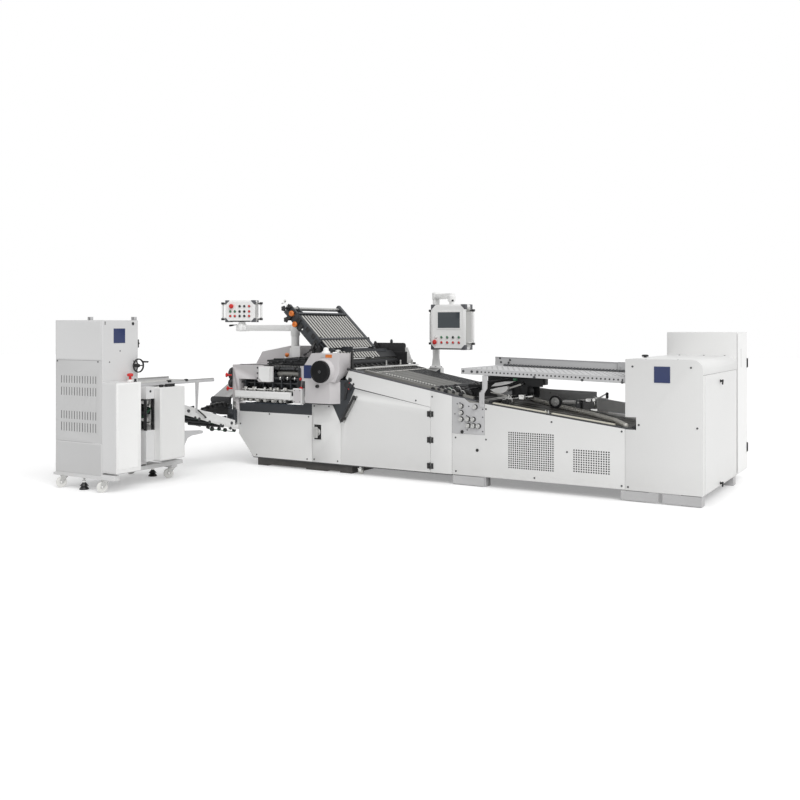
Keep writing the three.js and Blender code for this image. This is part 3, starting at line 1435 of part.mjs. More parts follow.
// Door on the drive box, hinged at its rear edge
function stacker_drive_door() {
  const leaf = block([-sheet, 0], [-drive_depth, 0], [drive_low, drive_top]);
  return place(piece('stacker_drive_door', leaf, white_paint()),
    tower_width + drive_width, drive_depth, 0);
}

// Infeed box at the stacker's near side
function stacker_infeed_box() {
  const wall = sheet * 2;
  const low = infeed_low;
  const front = infeed_front + wall + seat_gap;
  const back = infeed_front + infeed_depth;
  const shell = block([0, infeed_width], [front, back], [low, infeed_top]);
  const room = block([wall, infeed_width - wall], [front + wall, back - wall],
    [low + wall, infeed_top - wall]);
  const window = block(infeed_window_shares.map((share) => infeed_width * share),
    [front - overrun, back + overrun], [infeed_window_low, infeed_window_high]);
  return piece('stacker_infeed_box', cut(shell, room, window), white_paint());
}

// Delivery table that runs from the tower over the infeed box, with its strut
function stacker_table() {
  const low = stacker_table_low;
  const start = tower_depth + seat_gap;
  const end = start + stacker_table_length;
  const width = infeed_width * 0.8;
  const deck = block([0, width], [start, end], [low, low + stacker_table_edge / 4]);
  const edges = [0, width - sheet * 2].map((x) => block([x, x + sheet * 2], [start, end],
    [low, low + stacker_table_edge]));
  const seat = block([0, width / 4],
    [infeed_front + beam_width, infeed_front + infeed_depth - beam_width],
    [infeed_top + seat_gap, low + overrun]);
  const strut_y = start + stacker_table_length * stacker_strut_share;
  const strut_low = low * stacker_strut_low_share;
  const strut = wall_yz([
    [strut_y - stacker_table_edge / 2, low + overrun], [strut_y - stacker_table_edge / 4, strut_low],
    [strut_y + stacker_table_edge / 4, strut_low], [strut_y + stacker_table_edge, low + overrun],
  ], width - sheet * 4, width);
  return piece('stacker_table', join(deck, ...edges, seat, strut), head_paint());
}

// Crank handwheel on the tower's side: rim, spokes, hub, grip and shaft
function stacker_handwheel() {
  const rim = cut(
    rod([crank_standoff - crank_depth, 0, 0], [crank_standoff, 0, 0], crank_radius),
    rod([crank_standoff - crank_depth * 2, 0, 0], [crank_standoff + crank_depth, 0, 0],
      crank_radius - crank_depth));
  const spokes = [0, 1, 2].map((i) => {
    const angle = i * Math.PI * 2 / 3;
    const tip = crank_radius - crank_depth / 2;
    return rod([crank_standoff - crank_depth / 2, 0, 0],
      [crank_standoff - crank_depth / 2, tip * Math.cos(angle), tip * Math.sin(angle)],
      crank_depth / 2, small_sides);
  });
  const hub = rod([seat_gap, 0, 0], [crank_standoff, 0, 0], journal_radius * 1.4);
  const shaft = rod([-overrun * 3, 0, 0], [crank_standoff / 2, 0, 0], journal_radius);
  const reach = crank_radius - crank_depth / 2;
  const grip_at = [reach * Math.cos(crank_grip_angle), reach * Math.sin(crank_grip_angle)];
  const grip = rod([crank_standoff - crank_depth / 2, ...grip_at],
    [crank_standoff + crank_radius, ...grip_at], crank_depth * 0.7, small_sides);
  return place(piece('stacker_handwheel', join(rim, ...spokes, hub, shaft, grip), black_plastic()),
    tower_width, crank_y, crank_height);
}

// Name, X and Y of each caster, set in from the tower's sides and the rear bar
function caster_places() {
  const rear_y = rear_bar_y + caster_rear_inset;
  return [
    ['caster_front_left', caster_front_inset, caster_front_y],
    ['caster_front_right', tower_width + caster_front_reach, caster_front_y],
    ['caster_rear_right', tower_width - caster_rear_right_inset, rear_y],
    ['caster_rear_left', caster_rear_left_inset, rear_y],
  ];
}

// Swivel caster: plate, fork and a wheel behind the swivel axis
function caster([name, x, y]) {
  const unit = new THREE.Group();
  unit.position.set(x, y, 0);
  unit.rotation.z = caster_turn;
  const top = caster_height - seat_gap;
  const plate_low = top - caster_plate_thickness;
  const half = caster_width / 2 + caster_fork_gap;
  const plate = rod([0, 0, plate_low], [0, 0, top], caster_plate / 2);
  const cheeks = [-half - caster_fork_wall, half].map((cheek_y) => wall_xz([
    [caster_trail + caster_axle_radius * 2, caster_radius - caster_axle_radius],
    [caster_trail + caster_axle_radius * 2, caster_radius + caster_axle_radius],
    [caster_plate * 0.38, plate_low + caster_plate_thickness / 2],
    [-caster_plate * 0.38, plate_low + caster_plate_thickness / 2],
    [caster_trail - caster_axle_radius * 2, caster_radius - caster_axle_radius],
  ], cheek_y, cheek_y + caster_fork_wall));
  const axle = rod([caster_trail, -half - caster_fork_wall, caster_radius],
    [caster_trail, half + caster_fork_wall, caster_radius], caster_axle_radius, small_sides);
  unit.add(piece(`${name}_fork`, join(plate, ...cheeks, axle), bare_steel()));
  const tread = caster_width / 2;
  const wheel = cut(rod([0, -tread, 0], [0, tread, 0], caster_radius, round_sides * 1.5),
    rod([0, -caster_width, 0], [0, caster_width, 0], caster_axle_radius + bore_gap));
  unit.add(place(piece(`${name}_wheel`, wheel, caster_white()), caster_trail, 0, caster_radius));
  return unit;
}

// Units of the line
function folder() {
  const unit = new THREE.Group();
  const [front_shaft, rear_shaft, upper_shaft, lower_shaft] = shaft_places();
  unit.add(base_plinth(), folder_frame());
  unit.add(folder_left_panel(), switch_panel(), main_switch_lever(), folder_door(), table_side_trim());
  unit.add(head_cover(), main_handwheel(), fold_roller('fold_roller_lower', shaft_z),
    fold_roller('fold_roller_upper', shaft_z + fold_roller_radius * 2 + seat_gap));
  unit.add(fold_plate_rack(), folder_rear_guard(), register_rear_guard(), register_table());
  unit.add(knife_frame(), knife_rail(), fold_knife(), knife_roller('knife_roller_front', front_shaft),
    knife_roller('knife_roller_rear', rear_shaft), ring_roller('ring_roller_upper', upper_shaft),
    ring_roller('ring_roller_lower', lower_shaft));
  unit.add(delivery_deck(), conveyor_frame(), conveyor_roller(), left_control_unit(), right_control_unit());
  return unit;
}

function feeder() {
  const unit = new THREE.Group();
  unit.add(feeder_frame(), feeder_front_panel(), valve_plate(), feeder_cheek(), drum_cover(),
    feeder_end_cover(), pump_cabinet(), pump_cabinet_door());
  unit.add(turning_drum(), loading_table_unit(), return_table(), press_wheel_unit());
  return unit;
}

function stacker() {
  const unit = new THREE.Group();
  unit.position.set(stacker_x, stacker_y, 0);
  unit.add(stacker_body(), stacker_louvre_panel(), stacker_drive_door(), stacker_infeed_box(),
    stacker_table(), stacker_handwheel());
  unit.add(...caster_places().map(caster));
  return unit;
}

// The line stands on Z = 0 with the centre of its footprint at the origin
const line = new THREE.Group();
line.add(folder(), feeder(), stacker());
line.updateMatrixWorld(true);
const middle = new THREE.Box3().setFromObject(line, true).getCenter(new THREE.Vector3());
line.position.set(-middle.x, -middle.y, 0);

export default line;
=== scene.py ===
"""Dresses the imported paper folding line: finishes for its solids, and the fine pieces on them."""
import math

import bpy
from bpy.props import FloatProperty, FloatVectorProperty, PointerProperty
from mathutils import Matrix, Vector


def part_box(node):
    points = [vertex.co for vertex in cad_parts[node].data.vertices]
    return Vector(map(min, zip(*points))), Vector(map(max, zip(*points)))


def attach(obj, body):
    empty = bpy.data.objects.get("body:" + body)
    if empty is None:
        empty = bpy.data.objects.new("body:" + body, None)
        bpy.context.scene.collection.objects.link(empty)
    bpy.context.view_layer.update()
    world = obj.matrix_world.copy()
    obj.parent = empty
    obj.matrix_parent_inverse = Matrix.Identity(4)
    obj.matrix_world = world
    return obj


bl_info = {
    "name": "Paper folding line",
    "version": (1, 0, 0),
    "blender": (4, 5, 0),
    "location": "View3D > Sidebar > Folding line",
    "description": "Fine pieces, finishes and a studio for a paper folding line",
    "category": "Object",
}

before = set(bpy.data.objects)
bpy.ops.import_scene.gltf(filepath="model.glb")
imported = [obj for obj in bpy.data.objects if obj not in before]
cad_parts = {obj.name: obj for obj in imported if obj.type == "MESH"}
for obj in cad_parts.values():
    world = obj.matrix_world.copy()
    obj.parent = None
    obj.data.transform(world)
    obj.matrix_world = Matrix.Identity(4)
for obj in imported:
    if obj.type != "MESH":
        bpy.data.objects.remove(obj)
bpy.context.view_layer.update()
MM = 0.001
# Corner of the folder's front covers: lengths along the line, back from the covers and up from
# the floor are counted from here, in millimetres
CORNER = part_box("folder_left_panel")[0]
FRONT, BACK = (0, -1, 0), (0, 1, 0)
LEFT, RIGHT = (-1, 0, 0), (1, 0, 0)
DOWN, UP = (0, 0, -1), (0, 0, 1)
# Corner, axis and degrees that the pieces of slanted parts are measured from
RACK = (1132, 185, 1290), "Y", -136.02
REGISTER = (1494, 3.3, 1084), "Y", math.degrees(0.18)
LOADING = (2802, 20, 1139), "Y", math.degrees(0.026)
CASTER_TURN = math.degrees(-2.251)
# Edges that turn by less than this are shaded smooth
SMOOTH = math.radians(32)
# Fall of the return table along the line, and the spacing of the rack's slats
FALL = 0.1193
SLAT_STEP = 56


def shade(code):
    """Linear colour of a six figure colour code."""
    parts = [int(code[i:i + 2], 16) / 255 for i in (1, 3, 5)]
    return tuple(c / 12.92 if c <= 0.04045 else ((c + 0.055) / 1.055) ** 2.4 for c in parts)


COLOURS = {
    "cover": ("Covers", "Warm light grey of the line's covers", "#E2E2E1"),
    "white": ("White paint", "White of the control boxes and rails", "#EFEFEE"),
    "stacker": ("Stacker", "Grey of the stacker's tower", "#D6D6D6"),
    "head": ("Head", "Warm grey of the head cover and knife unit", "#C9C6C7"),
    "fence": ("Fence", "Grey of the loading table and its fence", "#BFBFC0"),
    "frame": ("Frame", "Charcoal of the folder's frame", "#34373B"),
    "black": ("Black paint", "Black of the plinth and the guard", "#202022"),
    "plastic": ("Black plastic", "Black of knobs and handwheels", "#161617"),
    "rubber": ("Rubber", "Dark grey of rollers and belts", "#2B2C2E"),
    "table": ("Table", "Grey of the register table's steel", "#84837F"),
    "belt": ("Belt", "Green of the delivery belts", "#1F4B34"),
    "red": ("Red", "Red of stop buttons and star knobs", "#C9201C"),
    "green": ("Green", "Green of the push buttons", "#3C7A55"),
    "orange": ("Orange", "Orange of the rack's knobs", "#D9772B"),
    "steel": ("Steel", "Bare steel of shafts and plates", "#A9A9A8"),
    "screen": ("Screen", "Dark glass of the control screen", "#2D373D"),
}


class LineColours(bpy.types.PropertyGroup):
    """Colours of the line's surfaces."""

    __annotations__ = {
        key: FloatVectorProperty(name=label, description=words, subtype="COLOR", size=3,
                                 min=0, max=1, default=shade(code))
        for key, (label, words, code) in COLOURS.items()
    }


class LineSizes(bpy.types.PropertyGroup):
    """Sizes of the line's fine pieces."""

    edge: FloatProperty(name="Edge", description="Radius of the broken edges", default=0.0015,
                        min=0.0002, max=0.01, subtype="DISTANCE", unit="LENGTH")
    screw: FloatProperty(name="Screw", description="Radius of the cover screws' heads",
                         default=0.009, min=0.003, max=0.02, subtype="DISTANCE", unit="LENGTH")
    vent: FloatProperty(name="Vent hole", description="Radius of a round vent hole",
                        default=0.0072, min=0.002, max=0.012, subtype="DISTANCE", unit="LENGTH")


class StageSettings(bpy.types.PropertyGroup):
    """Camera, lamps and floor of the studio."""

    lens: FloatProperty(name="Lens", description="Focal length of the camera, in millimetres",
                        default=42.3, min=10, max=200)
    sky: FloatProperty(name="Room light", description="Strength of the even light of the room",
                       default=0.62, min=0, max=2)
    key: FloatProperty(name="Key light", description="Strength of the wide soft light",
                       default=1.6, min=0, max=20)


# Modelling

BENCH = {"origin": Vector((0, 0, 0)), "axis": "Y", "degrees": 0.0}


def bench(origin=(0, 0, 0), axis="Y", degrees=0.0):
    """Sets the corner that pieces are measured from, and the turn that they get about it."""
    BENCH.update(origin=Vector(origin), axis=axis, degrees=degrees)


def spot(x, y, z):
    """A point in metres, from millimetres along the line, back from the covers and up."""
    x, y, z = BENCH["origin"] + Vector((x, y, z))
    return Vector((CORNER.x + x * MM, CORNER.y + y * MM, z * MM))


def begin():
    """Leaves edit mode with nothing selected."""
    if bpy.context.object and bpy.context.object.mode != "OBJECT":
        bpy.ops.object.mode_set(mode="OBJECT")
    bpy.ops.object.select_all(action="DESELECT")


def settle():
    """Puts the active piece's place, turn and size into its mesh."""
    bpy.ops.object.transform_apply(location=True, rotation=True, scale=True)
    return bpy.context.object


def hold(piece):
    """Makes a piece the only selected one."""
    begin()
    piece.select_set(True)
    bpy.context.view_layer.objects.active = piece
    return piece


def modifier(piece, kind, **settings):
    """Adds a modifier to a piece."""
    made = piece.modifiers.new(kind.title(), kind)
    for key, value in settings.items():
        setattr(made, key, value)
    return made


def modify(piece, kind, **settings):
    """Adds a modifier to a piece and applies it."""
    hold(piece)
    bpy.ops.object.modifier_apply(modifier=modifier(piece, kind, **settings).name)
    return piece


def soften(piece, edge, segments=2, angle=35):
    """Rounds a piece's sharp edges."""
    if edge <= 0:
        return piece
    return modify(piece, "BEVEL", width=edge * MM, segments=segments, limit_method="ANGLE",
        angle_limit=math.radians(angle), miter_outer="MITER_ARC")


def block(low, high, edge=1.5, segments=2):
    """A block from one corner to the other, with rounded edges."""
    a, b = spot(*low), spot(*high)
    begin()
    bpy.ops.mesh.primitive_cube_add(size=1, location=(a + b) / 2, scale=b - a)
    return soften(settle(), edge, segments)


def facing(direction):
    """The turn that brings the Z axis onto a direction."""
    return Vector(direction).to_track_quat("Z", "Y").to_euler()


def rod(start, end, radius, sides=20, edge=1.0):
    """A round bar between two points."""
    a, b = spot(*start), spot(*end)
    begin()
    bpy.ops.mesh.primitive_cylinder_add(vertices=sides, radius=radius * MM, depth=(b - a).length,
        location=(a + b) / 2, rotation=facing(b - a))
    return soften(settle(), edge, 2, 50)


def turned(start, axis, rings, sides=24):
    """A turned piece: a disc pulled along its axis through rings of (distance, radius)."""
    axis = Vector(axis).normalized()
    (along, radius), *rest = rings
    centre = spot(*start) + axis * along * MM
    begin()
    bpy.ops.mesh.primitive_circle_add(vertices=sides, radius=radius * MM, fill_type="NGON",
        location=centre, rotation=facing(axis))
    piece = settle()
    bpy.ops.object.mode_set(mode="EDIT")
    bpy.ops.mesh.select_all(action="SELECT")
    for to, wide in rest:
        bpy.ops.mesh.extrude_region_move(TRANSFORM_OT_translate={"value": axis * (to - along) * MM})
        centre = centre + axis * (to - along) * MM
        if wide != radius:
            bpy.ops.transform.resize(value=[wide / radius] * 3, center_override=centre)
        along, radius = to, wide
    bpy.ops.mesh.select_all(action="SELECT")
    bpy.ops.mesh.normals_make_consistent(inside=False)
    bpy.ops.object.mode_set(mode="OBJECT")
    return piece


def plate(points, depth, edge=1.0, segments=2):
    """A plate with that outline, pulled out by a depth vector, with rounded edges."""
    begin()
    bpy.ops.mesh.primitive_circle_add(vertices=len(points), radius=MM, fill_type="NGON")
    piece = bpy.context.object
    for vertex, point in zip(piece.data.vertices, points):
        vertex.co = spot(*point)
    bpy.ops.object.mode_set(mode="EDIT")
    bpy.ops.mesh.select_all(action="SELECT")
    bpy.ops.mesh.extrude_region_move(TRANSFORM_OT_translate={"value": Vector(depth) * MM})
    bpy.ops.mesh.select_all(action="SELECT")
    bpy.ops.mesh.normals_make_consistent(inside=False)
    bpy.ops.object.mode_set(mode="OBJECT")
    return soften(piece, edge, segments)


def sheet(y, points, depth, edge=1.0, segments=2):
    """A plate with an outline of (along, up) at a distance back."""
    return plate([(x, y, z) for x, z in points], (0, depth, 0), edge, segments)


def profile(x, points, depth, edge=1.0, segments=2):
    """A plate with an outline of (back, up) at a place along the line."""
    return plate([(x, y, z) for y, z in points], (depth, 0, 0), edge, segments)


def tube(points, radius, bends=6, sides=3):
    """A round bar that follows points."""
    begin()
    bpy.ops.curve.primitive_nurbs_path_add()
    piece = bpy.context.object
    curve = piece.data
    curve.splines.clear()
    line = curve.splines.new("NURBS")
    line.points.add(len(points) - 1)
    for place, point in zip(line.points, points):
        place.co = (*spot(*point), 1)
    line.use_endpoint_u = True
    line.order_u = 3
    curve.resolution_u = bends
    curve.bevel_depth = radius * MM
    curve.bevel_resolution = sides
    curve.use_fill_caps = True
    bpy.ops.object.convert(target="MESH")
    return bpy.context.object


def pick(piece, test):
    """Selects in edit mode the faces whose centre and normal pass a test."""
    hold(piece)
    bpy.context.tool_settings.mesh_select_mode = (False, False, True)
    for item in (*piece.data.edges, *piece.data.vertices):
        item.select = False
    for face in piece.data.polygons:
        face.select = test(face.center, face.normal)
    bpy.ops.object.mode_set(mode="EDIT")


def recess(piece, direction, margin, depth):
    """Insets the faces that look in a direction and pushes them in."""
    look = Vector(direction).normalized()
    pick(piece, lambda centre, normal: normal.dot(look) > 0.99)
    bpy.ops.mesh.inset(thickness=margin * MM, depth=0)
    bpy.ops.transform.translate(value=look * -depth * MM)
    bpy.ops.object.mode_set(mode="OBJECT")
    return piece


def panel(low, high, edge, margin, depth, look=FRONT, segments=2):
    """A block with its face towards one side inset and pushed in."""
    return recess(block(low, high, edge, segments), look, margin, depth)


def copies(piece, shifts):
    """The piece and its copies at each shift, each copy with its own mesh, as one piece."""
    made = [piece]
    for shift in shifts:
        hold(piece)
        bpy.ops.object.duplicate()
        bpy.ops.transform.translate(value=Vector(shift) * MM)
        made.append(settle())
    return joined(made)


def row(piece, count, step):
    """A row of a piece, one step apart."""
    return modify(piece, "ARRAY", count=count, use_relative_offset=False, use_constant_offset=True,
        constant_offset_displace=Vector(step) * MM)


def joined(pieces):
    """Several pieces as one."""
    begin()
    for piece in pieces:
        piece.select_set(True)
    bpy.context.view_layer.objects.active = pieces[0]
    if len(pieces) > 1:
        bpy.ops.object.join()
    return bpy.context.object


def placed(piece, pivot, axis, degrees):
    """Turns a piece about a point."""
    hold(piece)
    turn = Matrix.Rotation(math.radians(degrees), 4, Vector(axis))
    about = Matrix.Translation(spot(*pivot))
    piece.matrix_world = about @ turn @ about.inverted() @ piece.matrix_world
    return settle()


# Slot of the part's colours that a finish belongs to
SLOTS = {
    "steel": ("dark steel", "chrome", "slat steel", "grooved steel", "brushed steel"),
    "black_plastic": ("black plastic", "polished black"), "aluminium": ("cast aluminium",),
    "white_paint": ("white enamel",), "head_grey": ("fence enamel", "head enamel"),
    "dark_frame": ("dark parts and painted shade", "frame paint", "dark casting"),
    "stop_red": ("red plastic",), "cover_paint": ("cover enamel",),
    "stacker_grey": ("stacker enamel", "stacker painted shade"), "black_paint": ("black paint",),
    "roller_rubber": ("roller rubber", "belt rubber", "return belt"),
    "caster_white": ("tyre", "caster plastic"),
}
SLOT_OF = {finish: slot for slot, finishes in SLOTS.items() for finish in finishes}


def done(name, finish, piece, body="line", slot=None):
    """Names a piece, or several as one, gives it its finish and lets it ride on a body; its slot is
    not kept.
    """
    if isinstance(piece, list):
        piece = joined(piece)
    if BENCH["degrees"]:
        about = Matrix.Translation(spot(0, 0, 0))
        turn = Matrix.Rotation(math.radians(BENCH["degrees"]), 4, BENCH["axis"])
        piece.matrix_world = about @ turn @ about.inverted() @ piece.matrix_world
        hold(piece)
        settle()
    hold(piece)
    piece.name = piece.data.name = name
    piece.data.materials.clear()
    piece.data.materials.append(bpy.data.materials[finish])
    bpy.ops.object.shade_smooth_by_angle(angle=SMOOTH)
    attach(piece, body)
    slot = SLOT_OF.get(finish) if slot is None else slot
    begin()
    return piece


# Finishes and their shared effects

def node(tree, kind, inputs=None, **settings):
    """Adds a shader node, with settings, and values or links for its inputs."""
    made = tree.nodes.new(kind)
    for key, value in settings.items():
        setattr(made, key, value)
    for key, value in (inputs or {}).items():
        if isinstance(value, bpy.types.NodeSocket):
            tree.links.new(value, made.inputs[key])
        else:
            made.inputs[key].default_value = value
    return made


def combined(tree, first, second, operation="MULTIPLY", **settings):
    """Adds a shader node that combines two values, and gives its result."""
    return node(tree, "ShaderNodeMath", {0: first, 1: second}, operation=operation,
        **settings).outputs[0]


def white_rays(tree):
    """1 for the camera's own, mirrored and passing rays, which see the room as white."""
    seen = node(tree, "ShaderNodeLightPath")
    mirrored = combined(tree, seen.outputs["Is Camera Ray"], seen.outputs["Is Glossy Ray"],
        "MAXIMUM")
    return combined(tree, mirrored, seen.outputs["Is Transmission Ray"], "MAXIMUM")


def effect(name, inputs, outputs):
    """Starts a shader node group with named inputs and outputs."""
    tree = bpy.data.node_groups.new(name, "ShaderNodeTree")
    for label, kind, value in inputs:
        socket = tree.interface.new_socket(name=label, in_out="INPUT", socket_type=kind)
        socket.default_value = value
    for label, kind in outputs:
        tree.interface.new_socket(name=label, in_out="OUTPUT", socket_type=kind)
    return tree, tree.nodes.new("NodeGroupInput").outputs, tree.nodes.new("NodeGroupOutput")


NUMBER, COLOUR = "NodeSocketFloat", "NodeSocketColor"


def tone_effect():
    """Slow drift of a colour's lightness, with a fine speckle."""
    tree, given, out = effect("Tone", [("Color", COLOUR, (1, 1, 1, 1)), ("Drift", NUMBER, 0.05),
        ("Speckle", NUMBER, 0.02), ("Scale", NUMBER, 1.6)], [("Color", COLOUR)])
    place = node(tree, "ShaderNodeTexCoord").outputs["Object"]
    slow = node(tree, "ShaderNodeTexNoise", {"Vector": place, "Scale": given["Scale"],
        "Detail": 3})
    fine = node(tree, "ShaderNodeTexNoise", {"Vector": place, "Scale": 420, "Detail": 2})
    parts = []
    for noise, amount in ((slow, "Drift"), (fine, "Speckle")):
        middle = combined(tree, noise.outputs["Fac"], 0.5, "SUBTRACT")
        parts.append(combined(tree, middle, given[amount]))
    total = combined(tree, *parts, "ADD")
    light = combined(tree, total, 1, "ADD")
    mixed = node(tree, "ShaderNodeHueSaturation", {"Color": given["Color"], "Value": light})
    tree.links.new(mixed.outputs["Color"], out.inputs["Color"])


def dust_effect():
    """Grime that thins out with height above the floor."""
    tree, given, out = effect("Floor dust", [("Color", COLOUR, (1, 1, 1, 1)),
        ("Dust", COLOUR, (*shade("#8F8A82"), 1)), ("Height", NUMBER, 0.35),
        ("Amount", NUMBER, 0.2)], [("Color", COLOUR)])
    place = node(tree, "ShaderNodeTexCoord").outputs["Object"]
    up = node(tree, "ShaderNodeSeparateXYZ", {0: place}).outputs["Z"]
    fade = node(tree, "ShaderNodeMapRange", {"Value": up, "From Min": 0.02,
        "From Max": given["Height"], "To Min": 1, "To Max": 0})
    noise = node(tree, "ShaderNodeTexNoise", {"Vector": place, "Scale": 5, "Detail": 5})
    amount = combined(tree, fade.outputs[0], noise.outputs["Fac"])
    amount = combined(tree, amount, given["Amount"])
    mixed = node(tree, "ShaderNodeMix", {"Factor": amount, 6: given["Color"], 7: given["Dust"]},
        data_type="RGBA")
    tree.links.new(mixed.outputs[2], out.inputs["Color"])


def wear_effect():
    """Mask of worn edges: where the rounded normal leaves the face's own."""
    tree, given, out = effect("Edge wear", [("Radius", NUMBER, 0.002), ("Amount", NUMBER, 1)],
        [("Mask", NUMBER)])
    plain = node(tree, "ShaderNodeNewGeometry").outputs["Normal"]
    round_ = node(tree, "ShaderNodeBevel", {"Radius": given["Radius"]}, samples=4)
    dot = node(tree, "ShaderNodeVectorMath", {0: plain, 1: round_.outputs[0]},
        operation="DOT_PRODUCT")
    gap = node(tree, "ShaderNodeMapRange", {"Value": dot.outputs["Value"], "From Min": 0.985,
        "From Max": 0.85, "To Min": 0, "To Max": 1})
    place = node(tree, "ShaderNodeTexCoord").outputs["Object"]
    noise = node(tree, "ShaderNodeTexNoise", {"Vector": place, "Scale": 38, "Detail": 4})
    chips = node(tree, "ShaderNodeMapRange", {"Value": noise.outputs["Fac"], "From Min": 0.42,
        "From Max": 0.62})
    mask = combined(tree, gap.outputs[0], chips.outputs[0])
    mask = combined(tree, mask, given["Amount"], use_clamp=True)
    tree.links.new(mask, out.inputs["Mask"])


def grain_effect():
    """Stretched noise: orange peel when even, brushing when drawn out."""
    tree, given, out = effect("Grain", [("Scale", NUMBER, 600), ("Along", NUMBER, 1),
        ("Across", NUMBER, 1), ("Up", NUMBER, 1)], [("Value", NUMBER)])
    place = node(tree, "ShaderNodeTexCoord").outputs["Object"]
    stretch = node(tree, "ShaderNodeCombineXYZ", {0: given["Along"], 1: given["Across"],
        2: given["Up"]})
    drawn = node(tree, "ShaderNodeVectorMath", {0: place, 1: stretch.outputs[0]},
        operation="MULTIPLY")
    noise = node(tree, "ShaderNodeTexNoise", {"Vector": drawn.outputs[0], "Scale": given["Scale"],
        "Detail": 3})
    tree.links.new(noise.outputs["Fac"], out.inputs["Value"])


def group(tree, name, inputs):
    """Places a shared effect in a material."""
    made = node(tree, "ShaderNodeGroup")
    made.node_tree = bpy.data.node_groups[name]
    for key, value in inputs.items():
        if isinstance(value, bpy.types.NodeSocket):
            tree.links.new(value, made.inputs[key])
        else:
            made.inputs[key].default_value = value
    return made.outputs[0]


def finish(name, colour, rough=0.45, metal=0.0, drift=0.05, speckle=0.02, dust=0.0, worn=None,
           wear=0.0, grain=(600, 1, 1, 1), bump=0.06, spread=0.08, coat=0.0, ior=1.5):
    """A finish: toned, dusted and worn colour, with grain in its gloss and relief."""
    made = bpy.data.materials.new(name)
    made.use_nodes = True
    tree = made.node_tree
    shader = tree.nodes["Principled BSDF"]
    tint = group(tree, "Tone", {"Color": (*colour, 1), "Drift": drift, "Speckle": speckle})
    if dust:
        tint = group(tree, "Floor dust", {"Color": tint, "Amount": dust})
    if wear:
        mask = group(tree, "Edge wear", {"Radius": 0.003, "Amount": wear})
        tint = node(tree, "ShaderNodeMix", {"Factor": mask, 6: tint, 7: (*worn, 1)},
            data_type="RGBA").outputs[2]
    tree.links.new(tint, shader.inputs["Base Color"])
    value = group(tree, "Grain", dict(zip(("Scale", "Along", "Across", "Up"), grain)))
    gloss = node(tree, "ShaderNodeMapRange", {"Value": value, "To Min": max(rough - spread, 0.02),
        "To Max": rough + spread})
    tree.links.new(gloss.outputs[0], shader.inputs["Roughness"])
    relief = node(tree, "ShaderNodeBump", {"Height": value, "Strength": bump, "Distance": 0.0006})
    tree.links.new(relief.outputs[0], shader.inputs["Normal"])
    shader.inputs["Metallic"].default_value = metal
    shader.inputs["Coat Weight"].default_value = coat
    shader.inputs["IOR"].default_value = ior
    made.diffuse_color = (*colour, 1)
    return made


def glow(material, strength):
    """Lets a finish give a little light of its own colour."""
    tree = material.node_tree
    shader = tree.nodes["Principled BSDF"]
    source = shader.inputs["Base Color"].links[0].from_socket
    tree.links.new(source, shader.inputs["Emission Color"])
    shader.inputs["Emission Strength"].default_value = strength


